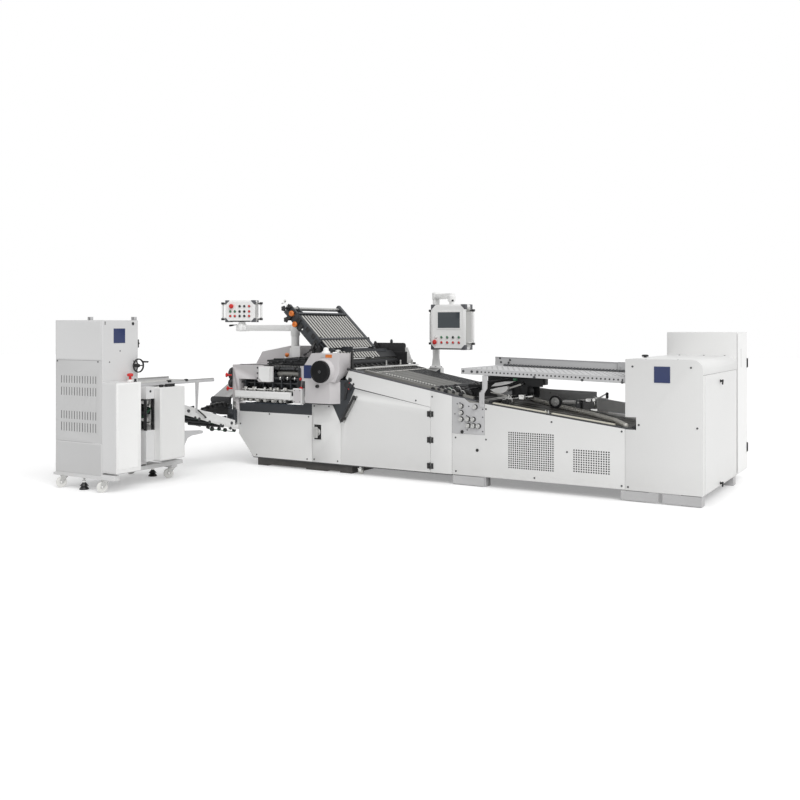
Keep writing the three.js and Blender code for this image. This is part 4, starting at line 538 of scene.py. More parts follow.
class LINE_OT_finishes(bpy.types.Operator):
    """Makes the line's finishes and their shared effects."""

    bl_idname = "folding_line.finishes"
    bl_label = "Finishes"

    def execute(self, context):
        for make in (tone_effect, dust_effect, wear_effect, grain_effect):
            make()
        tint = context.scene.line_colours
        bare = shade("#8D8D8B")
        pale = shade("#B4B2AE")
        enamel = dict(rough=0.42, dust=0.22, worn=pale, wear=0.45, bump=0.05)
        finish("cover enamel", tint.cover, **enamel)
        finish("white enamel", tint.white, **{**enamel, "rough": 0.36, "dust": 0.12})
        finish("stacker enamel", tint.stacker, **{**enamel, "rough": 0.5, "speckle": 0.05})
        finish("head enamel", tint.head, **{**enamel, "rough": 0.5, "speckle": 0.06, "bump": 0.12})
        finish("fence enamel", tint.fence, **{**enamel, "rough": 0.46, "wear": 0.6})
        finish("frame paint", tint.frame, rough=0.5, drift=0.25, dust=0.25, worn=bare, wear=0.8,
            bump=0.12)
        finish("black paint", tint.black, rough=0.48, drift=0.3, dust=0.35, worn=shade("#4A4A4C"),
            wear=0.8, bump=0.15)
        finish("black plastic", tint.plastic, rough=0.38, drift=0.2, worn=shade("#3C3C3E"),
            wear=0.4, grain=(900, 1, 1, 1), bump=0.1)
        finish("polished black", shade("#0C0C0D"), rough=0.3, drift=0.3, worn=shade("#45454A"),
            wear=0.3, grain=(300, 1, 1, 1), bump=0.05, spread=0.06, ior=1.35)
        finish("roller rubber", tint.rubber, rough=0.68, drift=0.25, speckle=0.12,
            worn=shade("#4D4D4F"), wear=0.4, grain=(500, 0.1, 1, 1), bump=0.15)
        finish("grooved steel", tint.table, rough=0.42, metal=0.55, drift=0.35, speckle=0.1,
            grain=(160, 0.03, 1, 1), bump=0.2, worn=shade("#C5C4C0"), wear=0.7)
        finish("belt weave", tint.belt, rough=0.7, drift=0.3, speckle=0.15,
            grain=(700, 1, 0.25, 1), bump=0.3)
        finish("brushed steel", tint.steel, rough=0.34, metal=0.85, drift=0.15,
            grain=(300, 0.05, 1, 1), bump=0.08, worn=shade("#D8D8D6"), wear=0.5)
        finish("chrome", shade("#D4D4D2"), rough=0.14, metal=1.0, drift=0.06,
            grain=(200, 0.1, 1, 1), bump=0.03, spread=0.05)
        finish("cast aluminium", shade("#B9B9B7"), rough=0.42, metal=0.7, drift=0.15, speckle=0.08,
            grain=(240, 1, 1, 1), bump=0.15, worn=shade("#DDDDDB"), wear=0.5)
        finish("dark steel", shade("#4A4B4D"), rough=0.4, metal=0.6, drift=0.3, speckle=0.1,
            grain=(260, 0.08, 1, 1), bump=0.1, worn=shade("#9A9A98"), wear=0.7)
        finish("red plastic", tint.red, rough=0.3, drift=0.12, grain=(800, 1, 1, 1), coat=0.2,
            worn=shade("#E06A60"), wear=0.3)
        finish("green plastic", tint.green, rough=0.3, drift=0.12, grain=(800, 1, 1, 1), coat=0.2)
        finish("orange plastic", tint.orange, rough=0.34, drift=0.12, grain=(800, 1, 1, 1),
            coat=0.15, worn=shade("#EDAF7C"), wear=0.3)
        finish("caster plastic", shade("#E9E9E6"), rough=0.4, dust=0.3, drift=0.08,
            grain=(500, 1, 1, 1), worn=pale, wear=0.4)
        finish("tyre", shade("#CFCFCB"), rough=0.6, dust=0.45, drift=0.1, grain=(500, 1, 1, 1))
        finish("screen glass", tint.screen, rough=0.1, drift=0.12, speckle=0.01,
            grain=(40, 1, 1, 1), bump=0.0, spread=0.04, coat=0.3)
        # Painted shade: dark discs and pits stand in for the shade inside holes
        finish("painted hole shade", shade("#232324"), rough=0.7, drift=0.2, grain=(400, 1, 1, 1))
        finish("blue enamel", shade("#16295A"), rough=0.35, drift=0.08, coat=0.3,
            worn=shade("#7D8DAC"), wear=0.4)
        finish("slate paint", shade("#2F3740"), rough=0.5, drift=0.25, dust=0.1,
            worn=shade("#6C737B"), wear=0.5)
        finish("slat steel", shade("#BDBCB8"), rough=0.42, metal=0.25, drift=0.06, speckle=0.0,
            grain=(900, 1, 1, 1), bump=0.02, worn=shade("#D9D9D6"), wear=0.3)
        # Painted shade: a darker grey for the tower's lower front and its louvre panel
        finish("stacker painted shade", shade("#C6C6C6"), **{**enamel, "rough": 0.5, "speckle": 0.05})
        finish("return belt", shade("#7B7973"), rough=0.55, metal=0.2, drift=0.3, speckle=0.1,
            grain=(600, 0.05, 1, 1), bump=0.15)
        # Dark parts, and painted shade: dark plates, floors and faces that stand for the shade
        # inside and under the machine
        finish("dark parts and painted shade", shade("#232426"), rough=0.6, drift=0.4, speckle=0.1, dust=0.1,
            worn=shade("#5A5B5D"), wear=0.6)
        finish("belt rubber", shade("#6A6A67"), rough=0.6, drift=0.3, speckle=0.15,
            grain=(600, 0.05, 1, 1), bump=0.2)
        finish("dark casting", shade("#55565A"), rough=0.45, metal=0.3, drift=0.15,
            grain=(400, 1, 1, 1), worn=shade("#9A9A9C"), wear=0.6)
        # Painted light: a faint glow brightens the lamp strips' covers
        glow(finish("lamp cover", shade("#D2CEBF"), rough=0.4, drift=0.05, grain=(300, 0.2, 1, 1)),
            0.04)
        # Painted reflection: the coil guide is near white, standing for its glossy metal's
        # brightness in the shade under the table
        finish("coil guide", shade("#EDEBE4"), rough=0.35, metal=0.2, drift=0.1,
            grain=(400, 1, 1, 1), worn=shade("#D8D5CC"), wear=0.5)
        return {"FINISHED"}


# Finish of each solid of the frame, and boxes of its faces that have another
SOLID_FINISH = {
    "base_plinth": "black paint", "folder_frame": "frame paint",
    "folder_left_panel": "cover enamel", "switch_panel": "cover enamel",
    "main_switch_lever": "cast aluminium", "folder_door": "cover enamel",
    "table_side_trim": "cover enamel", "head_cover": "head enamel",
    "main_handwheel": "black plastic", "fold_roller_lower": "roller rubber",
    "fold_roller_upper": "roller rubber", "fold_plate_rack": "frame paint",
    "folder_rear_guard": "head enamel", "register_rear_guard": "black paint",
    "register_table": "grooved steel", "knife_frame": "head enamel", "knife_rail": "white enamel",
    "fold_knife": "brushed steel", "knife_roller_front": "roller rubber",
    "knife_roller_rear": "roller rubber", "ring_roller_upper": "chrome",
    "ring_roller_lower": "chrome", "delivery_deck": "brushed steel",
    "conveyor_frame": "cover enamel", "conveyor_roller": "roller rubber",
    "left_box_arm": "white enamel",
    "left_control_box": "white enamel", "left_stop_button": "red plastic",
    "right_box_post": "white enamel", "right_box_arm": "white enamel",
    "right_control_box": "white enamel", "right_stop_button": "red plastic",
    "feeder_frame": "fence enamel", "feeder_front_panel": "cover enamel",
    "valve_plate": "fence enamel", "feeder_cheek": "cover enamel", "drum_cover": "cover enamel",
    "feeder_end_cover": "cover enamel", "pump_cabinet": "white enamel",
    "pump_cabinet_door": "white enamel", "turning_drum": "roller rubber",
    "loading_table": "fence enamel", "suction_wheel": "roller rubber",
    "return_table": "dark steel", "press_wheel": "roller rubber",
    "press_wheel_arm": "cast aluminium",
    "stacker_body": "stacker enamel", "stacker_louvre_panel": "stacker painted shade",
    "stacker_drive_door": "white enamel", "stacker_infeed_box": "cover enamel",
    "stacker_table": "fence enamel", "stacker_handwheel": "black plastic",
}
FACE_FINISH = [
    ("folder_door", "black plastic", (1000, -70, 0), (3000, -1.2, 1500)),
    ("switch_panel", "black plastic", (1000, -70, 300), (1600, -14.5, 600)),
    ("delivery_deck", "black paint", (-400, -62, 600), (0, -10, 810)),
    ("return_table", "white enamel", (3000, 960, 600), (4600, 1020, 1000)),
    ("press_wheel", "dark parts and painted shade", (3525, 500, 768), (3601, 640, 842)),
    # Painted shade under the loading table: its underside and the feeder frame below it are painted
    # dark
    ("loading_table", "dark parts and painted shade", (2800, 60, 800), (4500, 1400, 1068)),
    ("feeder_frame", "dark parts and painted shade", (2830, 60, 640), (4400, 1380, 1110)),
    # Painted shade in the louvre panel's slots: their walls are painted dark
    ("stacker_louvre_panel", "dark parts and painted shade", (-470, -2079.6, 480), (80, -2040, 1180)),
    ("stacker_body", "black plastic", (-260, -2120, -1), (-60, -1080, 66)),
    ("folder_frame", "white enamel", (1710, 1280, 1000), (1880, 1420, 1090)),
]


def nearest(name):
    """The finish of a frame solid by its name, and the same for the four casters' parts."""
    if name in SOLID_FINISH:
        return SOLID_FINISH[name]
    if "fork" in name:
        return "cast aluminium"
    if "wheel" in name:
        return "caster plastic"
    raise RuntimeError(f"{name} has no finish")


def give(solid, label, inside):
    """Gives a solid's faces with their centre in a box another finish."""
    solid.data.materials.append(bpy.data.materials[label])
    index = len(solid.data.materials) - 1
    for face in solid.data.polygons:
        if inside(face.center, face.normal):
            face.material_index = index


class LINE_OT_solids(bpy.types.Operator):
    """Gives the frame's own solids their finishes and broken edges."""

    bl_idname = "folding_line.solids"
    bl_label = "Solids of the frame"

    def execute(self, context):
        edge = context.scene.line_sizes.edge
        for name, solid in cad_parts.items():
            solid.data.materials.clear()
            solid.data.materials.append(bpy.data.materials[nearest(name)])
            for face in solid.data.polygons:
                face.material_index = 0
                face.use_smooth = True
            modifier(solid, "WELD", merge_threshold=2e-05)
            modifier(solid, "DECIMATE", decimate_type="DISSOLVE", angle_limit=math.radians(0.5),
                delimit={"MATERIAL"})
            modifier(solid, "BEVEL", width=edge, segments=2, limit_method="ANGLE",
                angle_limit=math.radians(40), harden_normals=True)
        for name, label, low, high in FACE_FINISH:
            a, b = spot(*low), spot(*high)
            give(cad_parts[name], label,
                lambda c, n, a=a, b=b: all(a[i] <= c[i] <= b[i] for i in range(3)))
        return {"FINISHED"}


# Pieces of the folder

def screw_head(x, y, z, axis=FRONT, size=None):
    """A domed screw head with its socket, standing on a surface."""
    r = size or bpy.context.scene.line_sizes.screw / MM
    start = Vector((x, y, z)) - Vector(axis) * 0.4
    return turned(start, axis, [(0, r), (0.25 * r, r), (0.42 * r, 0.8 * r), (0.45 * r, 0.42 * r),
        (0.2 * r, 0.38 * r)], 14)


def screws(places, axis=FRONT, size=None):
    """One screw head and its copies at the other places."""
    first = Vector(places[0])
    return copies(screw_head(*first, axis, size), [Vector(p) - first for p in places[1:]])


COVER_SCREWS = [
    (439, 0, 579), (974, 0, 575), (24, 0, 452), (258, 0, 119), (954, 0, 119), (1048, 0, 695),
    (1240, 0, 698), (1047, 0, 123), (1352, 0, 124), (2303, 0, 803), (2490, 0, 848), (2751, 0, 459),
    (2756, 0, 131), (3080, 0, 459), (3080, 0, 752), (3749, 0, 662), (4411, 0, 612),
    (3580, 0, 131), (3900, 0, 395), (4411, 0, 128), (4468, 0, 124), (4508, 0, 1191),
    (5016, 0, 1191), (4564, 0, 678), (5069, 0, 675),
]
HINGE_HEIGHTS = (159.6, 417.4, 675.2)


class LINE_OT_screws(bpy.types.Operator):
    """Puts the screws on the front covers, and the black plug."""

    bl_idname = "folding_line.screws"
    bl_label = "Cover screws"

    def execute(self, context):
        done("cover_screws", "dark steel", screws(COVER_SCREWS))
        done("cover_plug", "black plastic", turned((2987, 0.4, 350), FRONT,
            [(0, 15), (5, 15), (8, 11), (8, 6), (4, 5)], 24))
        return {"FINISHED"}


class LINE_OT_vents(bpy.types.Operator):
    """Puts dark discs, painted shade for the two fields of vent holes, on the feeder's front cover.
    """

    bl_idname = "folding_line.vents"
    bl_label = "Vent holes"

    def execute(self, context):
        radius = context.scene.line_sizes.vent / MM
        for name, x, z, across, up, step, rise in (("vents_left", 3321, 211, 21, 17, 22.1, 20.6),
                ("vents_right", 3967, 225, 15, 10, 23.4, 21.4)):
            hole = turned((x, 0.2, z), FRONT, [(0, radius), (1, radius), (1, radius * 0.75),
                (0.5, radius * 0.7)], 10)
            row(hole, across, (step, 0, 0))
            row(hole, up, (0, 0, rise))
            done(name, "painted hole shade", hole)
        return {"FINISHED"}


class LINE_OT_door(bpy.types.Operator):
    """Adds the folder door's hinges and the caps and strip of its grip bar."""

    bl_idname = "folding_line.door"
    bl_label = "Door hinges and grip"

    def execute(self, context):
        lifts = [(0, 0, z - HINGE_HEIGHTS[0]) for z in HINGE_HEIGHTS[1:]]
        for name, body, low, high in (("hinge_leaves_door", "door", 2433, 2463),
                ("hinge_leaves_cover", "line", 2477.5, 2504)):
            z = HINGE_HEIGHTS[0]
            leaf = panel((low, -4.5, z - 28), (high, -0.2, z + 28), 1.2, 5, 1)
            marks = [screw_head((low + high) / 2, -4.2, z + s * 15, size=5) for s in (-1, 1)]
            done(name, "black plastic", copies(joined([leaf, *marks]), lifts), body)
        done("hinge_tips", "dark steel", [turned((2468, -4.5, z + s * 30), (0, 0, s),
            [(-2, 7), (2, 7), (4, 5), (5, 2)], 16) for z in HINGE_HEIGHTS for s in (-1, 1)],
            "door")
        foot, head = Vector((1434, -46, 559)), Vector((1588, -46, 816))
        run = (head - foot).normalized()
        parts = [turned(end, side, [(-26, 17.5), (4, 17.5), (10, 14), (12, 8)], 20)
            for end, side in ((foot, -run), (head, run))]
        for share in (0.08, 0.9):
            x, _, z = foot.lerp(head, share)
            parts.append(turned((x, 0.2, z), FRONT, [(0, 17), (5, 17), (9, 12), (30, 10)], 20))
        done("door_grip_caps", "black plastic", parts, "door")
        side = Vector((-run.z, 0, run.x))
        across = [side * -20 - run * 24, side * 6 - run * 24, side * 6 + run * 10,
            side * -20 + run * 10]
        ends = [foot, foot, head, head]
        strip = plate([(e.x + a.x, 0.2, e.z + a.z) for e, a in zip(ends, across)], (0, -5, 0), 1.5)
        done("door_grip_strip", "cast aluminium", recess(strip, FRONT, 4, 1.2), "door")
        return {"FINISHED"}


class LINE_OT_switch(bpy.types.Operator):
    """Shapes the main switch: rim, grey grip body and turning ring."""

    bl_idname = "folding_line.switch"
    bl_label = "Main switch"

    def execute(self, context):
        done("switch_rim", "black plastic", panel((1061, -19, 341), (1151, -13.6, 499), 4, 7, 3.4,
            FRONT, 3))
        body = block((1080, -66, 362), (1132, -47.5, 478), 7, 4)
        body = recess(body, FRONT, 8, 3)
        ring = turned((1106, -14.2, 420), FRONT, [(0, 38), (10, 38), (14, 33), (30, 31)], 32)
        done("switch_grip", "cast aluminium", [body, ring], "main_switch")
        return {"FINISHED"}


class LINE_OT_head(bpy.types.Operator):
    """Adds the head cover's plates, knobs, lamp and pipes, and the handwheel's rim and hub."""

    bl_idname = "folding_line.head"
    bl_label = "Head and handwheel"

    def execute(self, context):
        done("head_plate", "blue enamel", panel((969, -83, 993), (1070, -79.8, 1134), 1.2, 4, 0.8))
        done("head_knob", "black plastic", turned((1151, -79.8, 912), FRONT,
            [(0, 19), (6, 19), (10, 16), (24, 16), (28, 12), (28, 5), (24, 4)], 20))
        done("head_lamp", "orange plastic", panel((1253, -84, 1217), (1335, -79.8, 1250), 2, 5, 1))
        done("head_cap", "white enamel", turned((1206, -6, 1260.2), UP,
            [(0, 46), (12, 46), (22, 40), (26, 30), (48, 28), (60, 20), (64, 6)]))
        eye = turned((1362, -6, 1260.2), UP, [(0, 12), (14, 12), (16, 28), (30, 30), (36, 22),
            (40, 9), (30, 8)])
        done("head_lamp_base", "fence enamel", panel((1196, -84, 1219), (1251, -79.8, 1248), 2, 5,
            1))
        done("head_eye", "chrome", eye)
        done("table_knob", "black plastic", turned((1500, -2, 1098), FRONT,
            [(0, 15), (6, 15), (9, 12), (26, 14), (30, 10), (31, 4)], 18))
        done("head_boss_ring", "head enamel", turned((1233, -130.2, 1070), FRONT,
            [(0, 124), (3, 124), (5, 122), (5, 118.5), (1, 117)], 48))
        self.pipes()
        bench((1233, -130, 1070))
        done("handwheel_dish", "polished black", turned((0, -9, 0), FRONT,
            [(0, 89), (1, 89), (3, 70), (9, 46), (12, 42)], 48), "drive")
        done("handwheel_hub", "dark steel", turned((0, -18, 0), FRONT,
            [(0, 36), (10, 36), (14, 32), (15, 17), (20, 16), (22, 13), (22, 6), (19, 5)], 32),
            "drive")
        done("handwheel_rim", "polished black", turned((0, -25, 0), FRONT,
            [(0, 115.5), (3, 117.5), (8, 117.5), (11, 114), (12, 108), (11, 103), (8, 101)], 48),
            "drive")
        bench()
        return {"FINISHED"}

    def pipes(self):
        """Dark pipes, wheels and red hoses between the head and the door."""
        pipes = [rod((1432, y, z), (1560, y, z + up), r, 16)
            for y, z, up, r in ((40, 965, 60, 17), (55, 905, 75, 13), (35, 850, 90, 15),
            (48, 1005, 20, 11))]
        pipes += [rod((1446, -8, 780), (1498, 10, 1010), 12, 16),
            rod((1490, 0, 860), (1560, 0, 950), 10, 16),
            turned((1462, 20, 930), FRONT, [(0, 26), (3, 30), (20, 30), (23, 24), (23, 9)], 24),
            turned((1512, 16, 985), FRONT, [(0, 18), (3, 22), (20, 22), (23, 17), (23, 7)], 24)]
        # Painted shade behind the pipes: a dark back plate
        room = panel((1432, 60, 700), (1600, 66, 1060), 2, 8, 2)
        done("head_pipes", "dark parts and painted shade", [room, *pipes])
        done("head_hoses", "red plastic", [tube([(1478, 4, 900), (1490, -2, 880), (1504, 2, 890)],
            4), tube([(1470, 4, 950), (1484, -2, 944), (1500, 4, 956)], 4)], slot="")


def star_knob(start, axis, radius, depth, lobes=5):
    """A star knob: its face is pulled out between the lobes, then bevelled."""
    axis = Vector(axis).normalized()
    centre = Vector(start)
    side = axis.orthogonal().normalized()
    up = axis.cross(side)
    points = []
    for i in range(lobes * 4):
        angle = math.tau * i / (lobes * 4)
        r = radius * (1.0, 0.93, 0.74, 0.93)[i % 4]
        points.append(centre + axis * depth * 0.4 + (side * math.cos(angle)
            + up * math.sin(angle)) * r)
    head = plate(points, axis * depth * 0.6, radius * 0.12, 2)
    neck = turned(centre, axis, [(-1, radius * 0.45), (depth * 0.45, radius * 0.4)], 14)
    button = turned(centre + axis * depth, axis, [(-1, radius * 0.5),
        (depth * 0.08, radius * 0.45), (depth * 0.12, radius * 0.2)], 14)
    return joined([head, neck, button])


class LINE_OT_rack(bpy.types.Operator):
    """Adds the fold plate rack's slats, rails, clamps and knobs, and the chute below it."""

    bl_idname = "folding_line.rack"
    bl_label = "Fold plate rack"

    def execute(self, context):
        bench(*RACK)
        slat = panel((2, -66, -33), (508, -38, -27), 1.5, 8, 1, DOWN)
        done("rack_slats", "slat steel", row(slat, 16, (0, SLAT_STEP, 0)), "rack")
        # Painted shade between the rack's slats: a dark floor behind them
        done("rack_side_floor", "dark parts and painted shade", panel((2, -78, -26), (520, 852, -22), 1, 5, 1,
            DOWN), "rack")
        clips = panel((510, -65, -36), (536, -39, -8), 3, 4, 2, DOWN)
        done("rack_slat_clips", "black plastic", row(clips, 16, (0, SLAT_STEP, 0)), "rack")
        for name, at in (("rack_bar_low", 122), ("rack_bar_high", 524)):
            bar = block((at, -98, -46), (at + 22, 828, -22), 2.5)
            done(name, "frame paint", recess(bar, DOWN, 5, 2), "rack")
        rails = []
        for y, low in ((-104.5, 112), (820.4, -6), (850.2, -6)):
            rails.append(panel((low, y, -20), (684, y + 4, 20), 1.2, 6, 1))
        rails.append(panel((2, 806, -40), (684, 856, -20), 2, 12, 1.5, DOWN))
        done("rack_rail_strips", "frame paint", rails, "rack", slot="steel")
        done("rack_tie_tubes", "cast aluminium", rod((640, -80, -14), (640, 830, -14), 14, 24),
            "rack", slot="steel")
        done("rack_tie_ends", "dark steel", [turned((x, y, -6), (0, side, 0),
            [(-8, 24), (10, 24), (14, 20), (14, 9), (8, 8)], 20)
            for x, y, side in ((676, -92, -1), (676, 842, 1))], "rack")
        for name, x, z in (("rack_orange_knob_upper", 592, 18),
                ("rack_orange_knob_lower", 478, 74)):
            done(name, "orange plastic", turned((x, -88, z), FRONT,
                [(-1, 16), (8, 16), (10, 29), (14, 31), (40, 31), (45, 27), (46, 12), (40, 10)],
                24), "rack")
        for name, x, z in (("rack_star_knob_upper", 662, 20), ("rack_star_knob_lower", 552, 84)):
            stem = rod((x + 10, -70, z), (x + 10, -170, z), 8, 16)
            star = star_knob((x + 10, -168, z), FRONT, 33, 24)
            done(name, "black plastic", [stem, star], "rack")
        done("rack_hook", "chrome", [rod((684, -110, 6), (742, -124, -14), 6, 14),
            rod((742, -124, -14), (750, -150, 20), 6, 14),
            turned((744, -124, -30), (0.2, -1, 0.1), [(0, 8), (4, 12), (20, 12), (24, 8)], 18)],
            "rack")
        done("rack_pads", "black plastic", [panel((x, -118, low), (x + 52, -104, high), 4, 7, 2)
            for x, low, high in ((648, -30, 34), (566, -24, 96), (448, -22, 96), (386, 10, 92))],
            "rack")
        done("rack_bolts", "chrome", [turned((x, -104.4, z), FRONT,
            [(0, 11), (6, 11), (10, 8), (10, 4), (6, 4)], 16) for x, z in ((412, 74), (372, 50))],
            "rack")
        clamps = [panel((x, -112, z - 24), (x + 44, -104, z + 24), 3, 6, 2)
            for x, z in ((126, 20), (196, 0), (300, 0))]
        clamps += [rod((150, -112, 40), (110, -150, 90), 12, 16),
            rod((140, -106, 60), (60, -106, 60), 15, 18)]
        done("rack_clamps", "black plastic", clamps, "rack")
        bench()
        self.pivot_parts()
        return {"FINISHED"}

    def pivot_parts(self):
        """Brackets, star knobs and rods where the rack meets the head."""
        parts = [star_knob((1040, 120, 1392), (-0.5, -0.6, 0.6), 36, 30),
            star_knob((985, 100, 1330), (-0.6, -0.7, 0.3), 42, 34),
            star_knob((1052, 96, 1312), (-0.3, -0.9, 0.2), 34, 30),
            panel((960, 126, 1262), (1050, 150, 1352), 6, 12, 3, FRONT, 3),
            turned((938, 120, 1318), (0.6, -0.7, 0.2), [(0, 16), (4, 22), (26, 22), (30, 14)], 20),
            rod((1000, 128, 1336), (858, 112, 1250), 7, 14),
            rod((1056, 124, 1330), (900, 118, 1286), 13, 14),
            turned((858, 112, 1250), (-0.85, 0, -0.5), [(0, 9), (4, 12), (34, 12), (38, 8)], 16),
            panel((930, 118, 1236), (960, 140, 1290), 4, 5, 2)]
        done("rack_pivot_knobs", "black plastic", parts)
        arm = sheet(118, [(1108, 1290), (1120, 1330), (1040, 1408), (1006, 1400), (1000, 1372)],
            12, 2)
        done("rack_pivot_arms", "frame paint", [recess(arm, FRONT, 7, 2),
            panel((972, 380, 1262), (1290, 386, 1326), 3, 8, 2)])
        self.chute()
        bar = sheet(150, [(985, 1262), (1085, 1262), (1096, 1318), (1042, 1344), (1000, 1304)], 10,
            2)
        done("rack_pivot_plate", "frame paint", recess(bar, FRONT, 9, 2))

    def chute(self):
        """Fixed slats between the rack and the register table, with their beam and shelf."""
        bench(*RACK)
        slat = panel((-150, 110, -24), (-46, 138, -18.4), 1.5, 8, 1, DOWN)
        done("chute_slats", "slat steel", row(slat, 13, (0, SLAT_STEP, 0)))
        # Painted shade between the chute's slats: a dark floor behind them
        done("chute_floor", "dark parts and painted shade", panel((-152, 96, -16), (-46, 1190, -12), 1, 6, 1,
            DOWN))
        bench()
        done("chute_beam", "frame paint", panel((1180, 560, 1256), (1194, 1240, 1286), 2, 5, 1,
            RIGHT))
        shelf = panel((1180, 180, 1172), (1230, 1390, 1185), 2, 8, 2, UP)
        lip = panel((1222, 180, 1120), (1232, 1390, 1172), 2, 8, 2, RIGHT)
        done("chute_shelf", "belt rubber", [shelf, lip], slot="dark_frame")


class LINE_OT_knife(bpy.types.Operator):
    """Fills the knife unit, and details its covers, the front rail and the trip box."""

    bl_idname = "folding_line.knife"
    bl_label = "Knife unit"

    def execute(self, context):
        done("knife_shafts", "dark steel", [rod((2, y, z), (843, y, z), r, 20)
            for y, z, r in ((64, 1078, 13), (96, 1020, 18), (40, 975, 12), (112, 955, 14),
            (52, 918, 10))])
        pins = [rod((x, 14, 842), (x, 14, 872), 15, 20, 2) for x in (87, 203, 444, 542, 652)]
        pins += [rod((x - 15, -2, 725), (x + 15, -2, 725), 17, 20, 2)
            for x in (58, 174, 280, 380, 490, 597)]
        done("knife_light_pins", "slat steel", pins)
        # Painted shade inside the knife unit: a dark back plate and a dark side cheek
        room = panel((4, 142, 700), (842, 150, 1086), 2, 10, 2)
        cheek = panel((832, 2, 712), (852, 132, 1094), 3, 5, 2)
        done("knife_room", "dark parts and painted shade", [room, cheek])
        lid = recess(sheet(-59.6, [(338, 1103), (484, 1103), (484, 938), (388, 938), (338, 976)],
            -4, 2), FRONT, 5, 0.8)
        lid = joined([lid, panel((480.8, -60, 938), (484.2, -2, 1103), 1, 4, 0.8, RIGHT)])
        done("knife_cover_lid", "white enamel", lid)
        done("knife_drum", "grooved steel", turned((500, 96, 1020), RIGHT,
            [(0, 34), (6, 38), (300, 38), (306, 34)], 32))
        wheels = []
        for x, y, z, r in ((60, 64, 1078, 24), (150, 40, 975, 30), (250, 40, 975, 30),
                (520, 64, 1078, 22), (610, 40, 975, 28), (700, 40, 975, 28),
                (790, 52, 918, 26), (360, 40, 975, 30), (740, 64, 1078, 24)):
            wheels.append(turned((x, y, z), RIGHT, [(0, r * 0.8), (2, r), (20, r), (22, r * 0.8),
                (22, r * 0.5), (18, r * 0.45)], 20))
        done("knife_wheels", "black plastic", wheels)
        done("knife_collars", "chrome", [turned((x, 40, 975), RIGHT,
            [(0, 20), (2, 22), (12, 22), (14, 20)], 20) for x in (190, 300, 420, 560, 660, 760)])
        forks = []
        for x in (70, 205, 330, 455, 580, 705, 800):
            forks.append(recess(profile(x, [(20, 870), (100, 870), (118, 985), (96, 1052),
                (78, 1052), (26, 960)], 9, 1.5), RIGHT, 8, 2))
        done("knife_forks", "frame paint", forks)
        beam = panel((0, 128, 884), (845, 140, 1010), 2, 12, 3)
        top = panel((2, 78, 1088), (843, 262, 1096), 2, 12, 2, UP)
        done("knife_backplate", "frame paint", [beam, top])
        done("knife_top_rods", "brushed steel", [rod((x, 78, 1101), (x, 250, 1101), 5.5, 12)
            for x in range(300, 840, 40)])
        done("knife_lever", "black plastic", [rod((220, 64, 1088), (560, 30, 1132), 7, 14),
            turned((560, 30, 1132), (0.9, -0.09, 0.12), [(-2, 11), (26, 12), (40, 12), (46, 8)],
            16)])
        done("knife_cover_screws", "dark steel", screws([(319, -59.8, z)
            for z in (1090, 1030, 974)], size=11))
        done("knife_arm_screws", "dark steel", screws([(276, 3.2, 1096), (276, 3.2, 1040),
            (276, 3.2, 978)], size=9))
        done("knife_lower_blocks", "cast aluminium", [panel((x, 6, 722), (x + 34, 92, 752), 3, 5,
            2) for x in (22, 142, 262, 382, 502, 622)])
        for name, x, y, z in (("end_star_knob_upper", -70, -70, 999),
                ("end_star_knob_lower", -86, -35, 845)):
            stem = rod((x + 14, y + 10, z), (x - 26, y, z), 8, 16)
            star = star_knob((x - 26, y, z), (-1, -0.35, 0), 27, 26, 6)
            done(name, "red plastic", [stem, star])
        for name, place, r, d in (("end_wheel_upper", (-94, 30, 1010), 74, 34),
                ("end_wheel_lower", (-94, 20, 905), 52, 44)):
            done(name, "black plastic", turned(place, LEFT,
                [(0, r * 0.9), (d * 0.15, r), (d * 0.8, r), (d, r * 0.88), (d, r * 0.6),
                (d * 0.7, r * 0.5)], 32))
        done("trip_star_knobs", "red plastic", [star_knob((905, -30, 878), FRONT, 22, 20),
            star_knob((872, 6, 978), FRONT, 18, 18)])
        done("rail_face", "white enamel", panel((-34, -24.8, 758), (732, -21.8, 818), 1.5, 8, 1.2))
        done("trip_box_screws", "dark steel", screws([(828, -63, 736), (903, -63, 736),
            (828, -63, 856), (903, -63, 856)], size=5))
        done("trip_box_lid", "head enamel", panel((816, -63, 722), (915, -59.6, 868), 1.5, 5, 0.8))
        done("knife_sill", "slate paint", panel((20, 8, 602), (905, 14, 698), 1.5, 10, 1.5))
        done("knife_leg_bracket", "cast aluminium", [panel((-86, -4, 610), (-40, 3, 700), 2, 8,
            1.5), rod((-60, 2, 640), (-60, -22, 640), 15, 20, 2)])
        done("post_cover", "white enamel", panel((552, 254, 1095.6), (667, 262, 1330), 4, 8, 1))
        done("guard_top_bar", "black plastic", [block((-40, 60, 1115.3), (150, 90, 1121), 2),
            recess(sheet(150, [(283, 1150), (745, 1196), (745, 1212), (283, 1170)], 30, 2), FRONT,
            4, 1)])
        # Painted shade above the knife unit: a dark back plate, with dark bars and wheels in front
        # of it
        back = recess(sheet(160, [(300, 1112), (848, 1112), (848, 1212), (745, 1204), (300, 1158)],
            6, 2), FRONT, 8, 2)
        bars = [rod((310 + 30 * i, 130, 1128 + 18 * i), (838, 130, 1134 + 18 * i), 9, 16)
            for i in range(4)]
        bars += [turned((x, 118, z), RIGHT, [(0, 12), (3, 16), (26, 16), (29, 12)], 18)
            for x, z in ((360, 1134), (450, 1148), (540, 1166), (640, 1154), (740, 1184))]
        done("knife_top_room", "dark parts and painted shade", [back, *bars])
        done("guard_post", "white enamel", turned((437, 300, 1115), UP,
            [(0, 26), (30, 26), (60, 22), (92, 20), (96, 14)], 24))
        done("guard_orange_knob", "orange plastic", turned((450, 300, 1212), (0.3, -0.3, 1),
            [(-4, 20), (10, 24), (26, 24), (32, 17), (33, 6)], 24))
        return {"FINISHED"}


